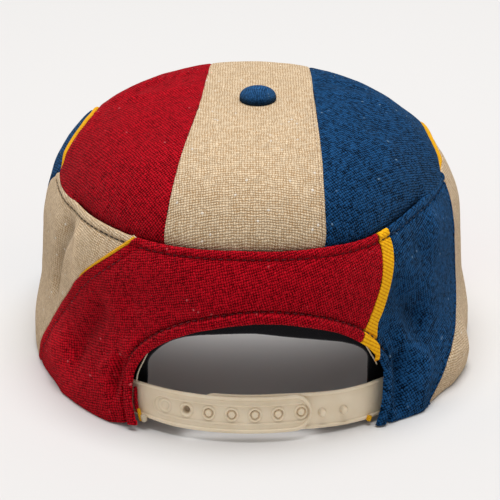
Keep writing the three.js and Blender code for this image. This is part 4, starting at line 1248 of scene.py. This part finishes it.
def strap_strip(name, root, end, foot_at, squeeze_at, depth_at, relief, node):
    """A strip with one rounded end, its face shaped by a relief over length and height."""
    start, stop = travel_at(root), travel_at(end)
    length, half = abs(stop - start), STRAP_HEIGHT / 2
    share = 1 - (1 - np.linspace(0, 1, STRAP_GRID[0])) ** STRAP_CROWDING
    from_end = (1 - share) * length
    half_here = half * np.sqrt(1 - np.clip(1 - from_end / half, 0, 0.998) ** 2)
    height = (crowded(STRAP_GRID[1]) * 2 - 1)[:, None] * half_here[None]
    along = np.broadcast_to(start + (stop - start) * share, height.shape)
    bearing = np.interp(along, strap_travel, strap_bearings)
    edge = half - np.hypot(np.maximum(0, half - from_end)[None], height)
    rise, dirt_and_shade = relief(along, height, np.maximum(edge, 0))
    upward = foot_at(bearing) + 2 * half - (half - height) * squeeze_at(bearing)
    points = strap_point(bearing, upward, depth_at(bearing) - rise)
    piece = sheet(name, points, np.stack([along, height], -1), STRAP_WALL, hollow=np.clip(dirt_and_shade, 0, 1))
    return finish_piece(piece, strap_plastic, "strap_plastic", node, angle=70)


STRAP_ROUND, STRAP_RIM, STRAP_RIM_ENDS = 0.7, 0.7, (1.3, 1.7)
# Strength of the soil and painted shade in the strap's hollows, and where it lies beside the rim
DIRT_AND_SHADE, RIM_DIRT_AND_SHADE = 0.22, (1.75, 0.25)


def raised_rim(edge):
    """Rounded outer edge with a raised rim inside it, and the soil and painted shade beside the rim."""
    inside = np.clip(1 - edge / STRAP_ROUND, 0, 1)
    rise = STRAP_RIM * (1 - smooth(edge, *STRAP_RIM_ENDS)) - STRAP_ROUND * (1 - np.sqrt(1 - inside ** 2))
    return rise, DIRT_AND_SHADE * around(edge, *RIM_DIRT_AND_SHADE)


def peg_head(away, radius, foot, dome):
    """A round peg with a domed top."""
    inside = np.sqrt(np.clip(1 - (away / radius) ** 2, 0, 1))
    return np.where(away < radius, foot + dome * inside, 0)


SLOT_START, SLOT_HALF = 1.5, 3.75
LIP_RADIUS, PEG_RADIUS = 2.6, 1.6
NIB_AWAY = 4.9
FREE_PEGS_LOWER = 1.2
# Each change along the strap, with the bearings where it starts and ends
INNER_RAISE, INNER_DROP, INNER_DROP_ENDS = 0.2, 2.0, (6, 26)
INNER_DEPTH_ENDS = (18, 34)
OUTER_NARROWING, OUTER_NARROW_ENDS = 0.08, (-32, -18)


def outer_relief(along, height, edge):
    """Raised rim, long shallow slot, and snap holes with raised lips, most of them filled by pegs."""
    rise, dirt_and_shade = raised_rim(edge)
    last_hole = snap_travel[OUTER_HOLES - 1]
    slot = np.hypot(along - np.clip(along, snap_travel[0] - SLOT_START, last_hole), height)
    rise += 0.25 * around(slot, SLOT_HALF + 0.35, 0.4) - 0.4 * (1 - smooth(slot, SLOT_HALF - 0.25, SLOT_HALF))
    # Soil and painted shade along the slot and round the lips and pegs
    dirt_and_shade += DIRT_AND_SHADE * around(slot, SLOT_HALF - 0.2, 0.25)
    for i, hole in enumerate(snap_travel[:OUTER_HOLES]):
        away = np.hypot(along - hole, height)
        rise += (0.75 if i else 0.4) * around(away, LIP_RADIUS, 0.42)
        dirt_and_shade += 0.16 * around(away, LIP_RADIUS + 0.7, 0.25)
        if i == 0:
            rise -= 0.4 * (1 - smooth(away, 1.4, 2.2))
            dirt_and_shade += 0.2 * around(away, 1.8, 0.3)
        elif i == 1:
            # Painted shade: the open hole is painted dark inside
            rise -= 1.7 * (1 - smooth(away, 1.1, 1.9))
            dirt_and_shade += 0.85 * (1 - smooth(away, 1.2, 1.9))
        else:
            rise += peg_head(away, PEG_RADIUS, 0.1, 0.8) - 0.5 * around(away, 1.85, 0.25)
            dirt_and_shade += 0.45 * around(away, 1.85, 0.22)
    nib = np.hypot(along - (last_hole + NIB_AWAY), height)
    return rise + 0.6 * around(nib, 0, 0.5), dirt_and_shade


def inner_relief(along, height, edge):
    """Raised rim and the pegs that stand free."""
    rise, dirt_and_shade = raised_rim(edge)
    for peg in snap_travel[OUTER_HOLES:]:
        away = np.hypot(along - peg, height + FREE_PEGS_LOWER)
        rise += peg_head(away, PEG_RADIUS, 1.0, 1.2)
        # Soil and painted shade round each free peg
        dirt_and_shade += 0.3 * around(away, PEG_RADIUS + 0.25, 0.3)
    return rise, dirt_and_shade


def inner_foot(bearing):
    return STRAP_FOOT + INNER_RAISE - INNER_DROP * smooth(bearing, *INNER_DROP_ENDS)


def inner_depth(bearing):
    return STRAP_DEPTH + (STRAP_THICKNESS + STRAP_GAP) * (1 - smooth(bearing, *INNER_DEPTH_ENDS))


def outer_squeeze(bearing):
    return 1 - OUTER_NARROWING * (1 - smooth(bearing, *OUTER_NARROW_ENDS))


# Columns: name, bearings of root and end, foot, share of the full height, depth, relief, solid
STRAP_STRIPS = [
    ("strap_outer_moulding", -37, 16.2, lambda bearing: STRAP_FOOT, outer_squeeze,
     lambda bearing: np.full_like(bearing, STRAP_DEPTH), outer_relief, "strap_outer"),
    ("strap_inner_moulding", 39, -14, inner_foot, np.ones_like, inner_depth, inner_relief, "strap_inner"),
]
for row in STRAP_STRIPS:
    strap_strip(*row)


# Floor, light and camera

deselect()
bpy.ops.mesh.primitive_plane_add(size=8, location=(0, 0, -0.0002))
floor = bpy.context.object
floor.name = "floor"
floor_finish, _, floor_shader = new_finish("floor_paper")
floor_shader.inputs["Base Color"].default_value = (0.755, 0.742, 0.733, 1)
floor_shader.inputs["Roughness"].default_value = 0.9
floor_shader.inputs["Specular IOR Level"].default_value = 0.1
floor.data.materials.append(floor_finish)


def aimed(place, aim):
    return (Vector(aim) - Vector(place)).to_track_quat("-Z", "Y").to_euler()


def soft_light(name, place, aim, width, height, power):
    lamp = bpy.data.lights.new(name, "AREA")
    lamp.shape = "RECTANGLE"
    lamp.size, lamp.size_y, lamp.energy = width, height, power
    light = bpy.data.objects.new(name, lamp)
    light.location = place
    light.rotation_euler = aimed(place, aim)
    bpy.context.collection.objects.link(light)


# Columns: name, place, aim, width, height, power
LIGHTS = [
    ("overhead_softbox", (0.06, 0.1, 2.2), (0, 0, 0.05), 1.4, 1.4, 47.0),
    ("strap_softbox", (0, -0.1005, 0.0036), (0, -0.1006, 0), 0.056, 0.006, 0.0009),
    ("inner_softbox", (0, 0.012, 0.034), (0, 0.0119, 0), 0.1, 0.02, 0.017),
]
for row in LIGHTS:
    soft_light(*row)

world = bpy.data.worlds.new("studio")
bpy.context.scene.world = world
world.use_nodes = True
backdrop = world.node_tree.nodes["Background"]
backdrop.inputs["Strength"].default_value = 0.36
backdrop.inputs["Color"].default_value = (1, 0.995, 0.985, 1)
bpy.context.scene.view_settings.view_transform = "Standard"

CAMERA_PLACE, CAMERA_AIM = (0, -0.9024, 0.462), (0, -0.0024, 0.0385)
camera_data = bpy.data.cameras.new("camera")
camera_data.lens = 159.5
camera_data.sensor_width = 36
camera = bpy.data.objects.new("camera", camera_data)
camera.location = CAMERA_PLACE
camera.rotation_euler = aimed(CAMERA_PLACE, CAMERA_AIM)
bpy.context.collection.objects.link(camera)
bpy.context.scene.camera = camera
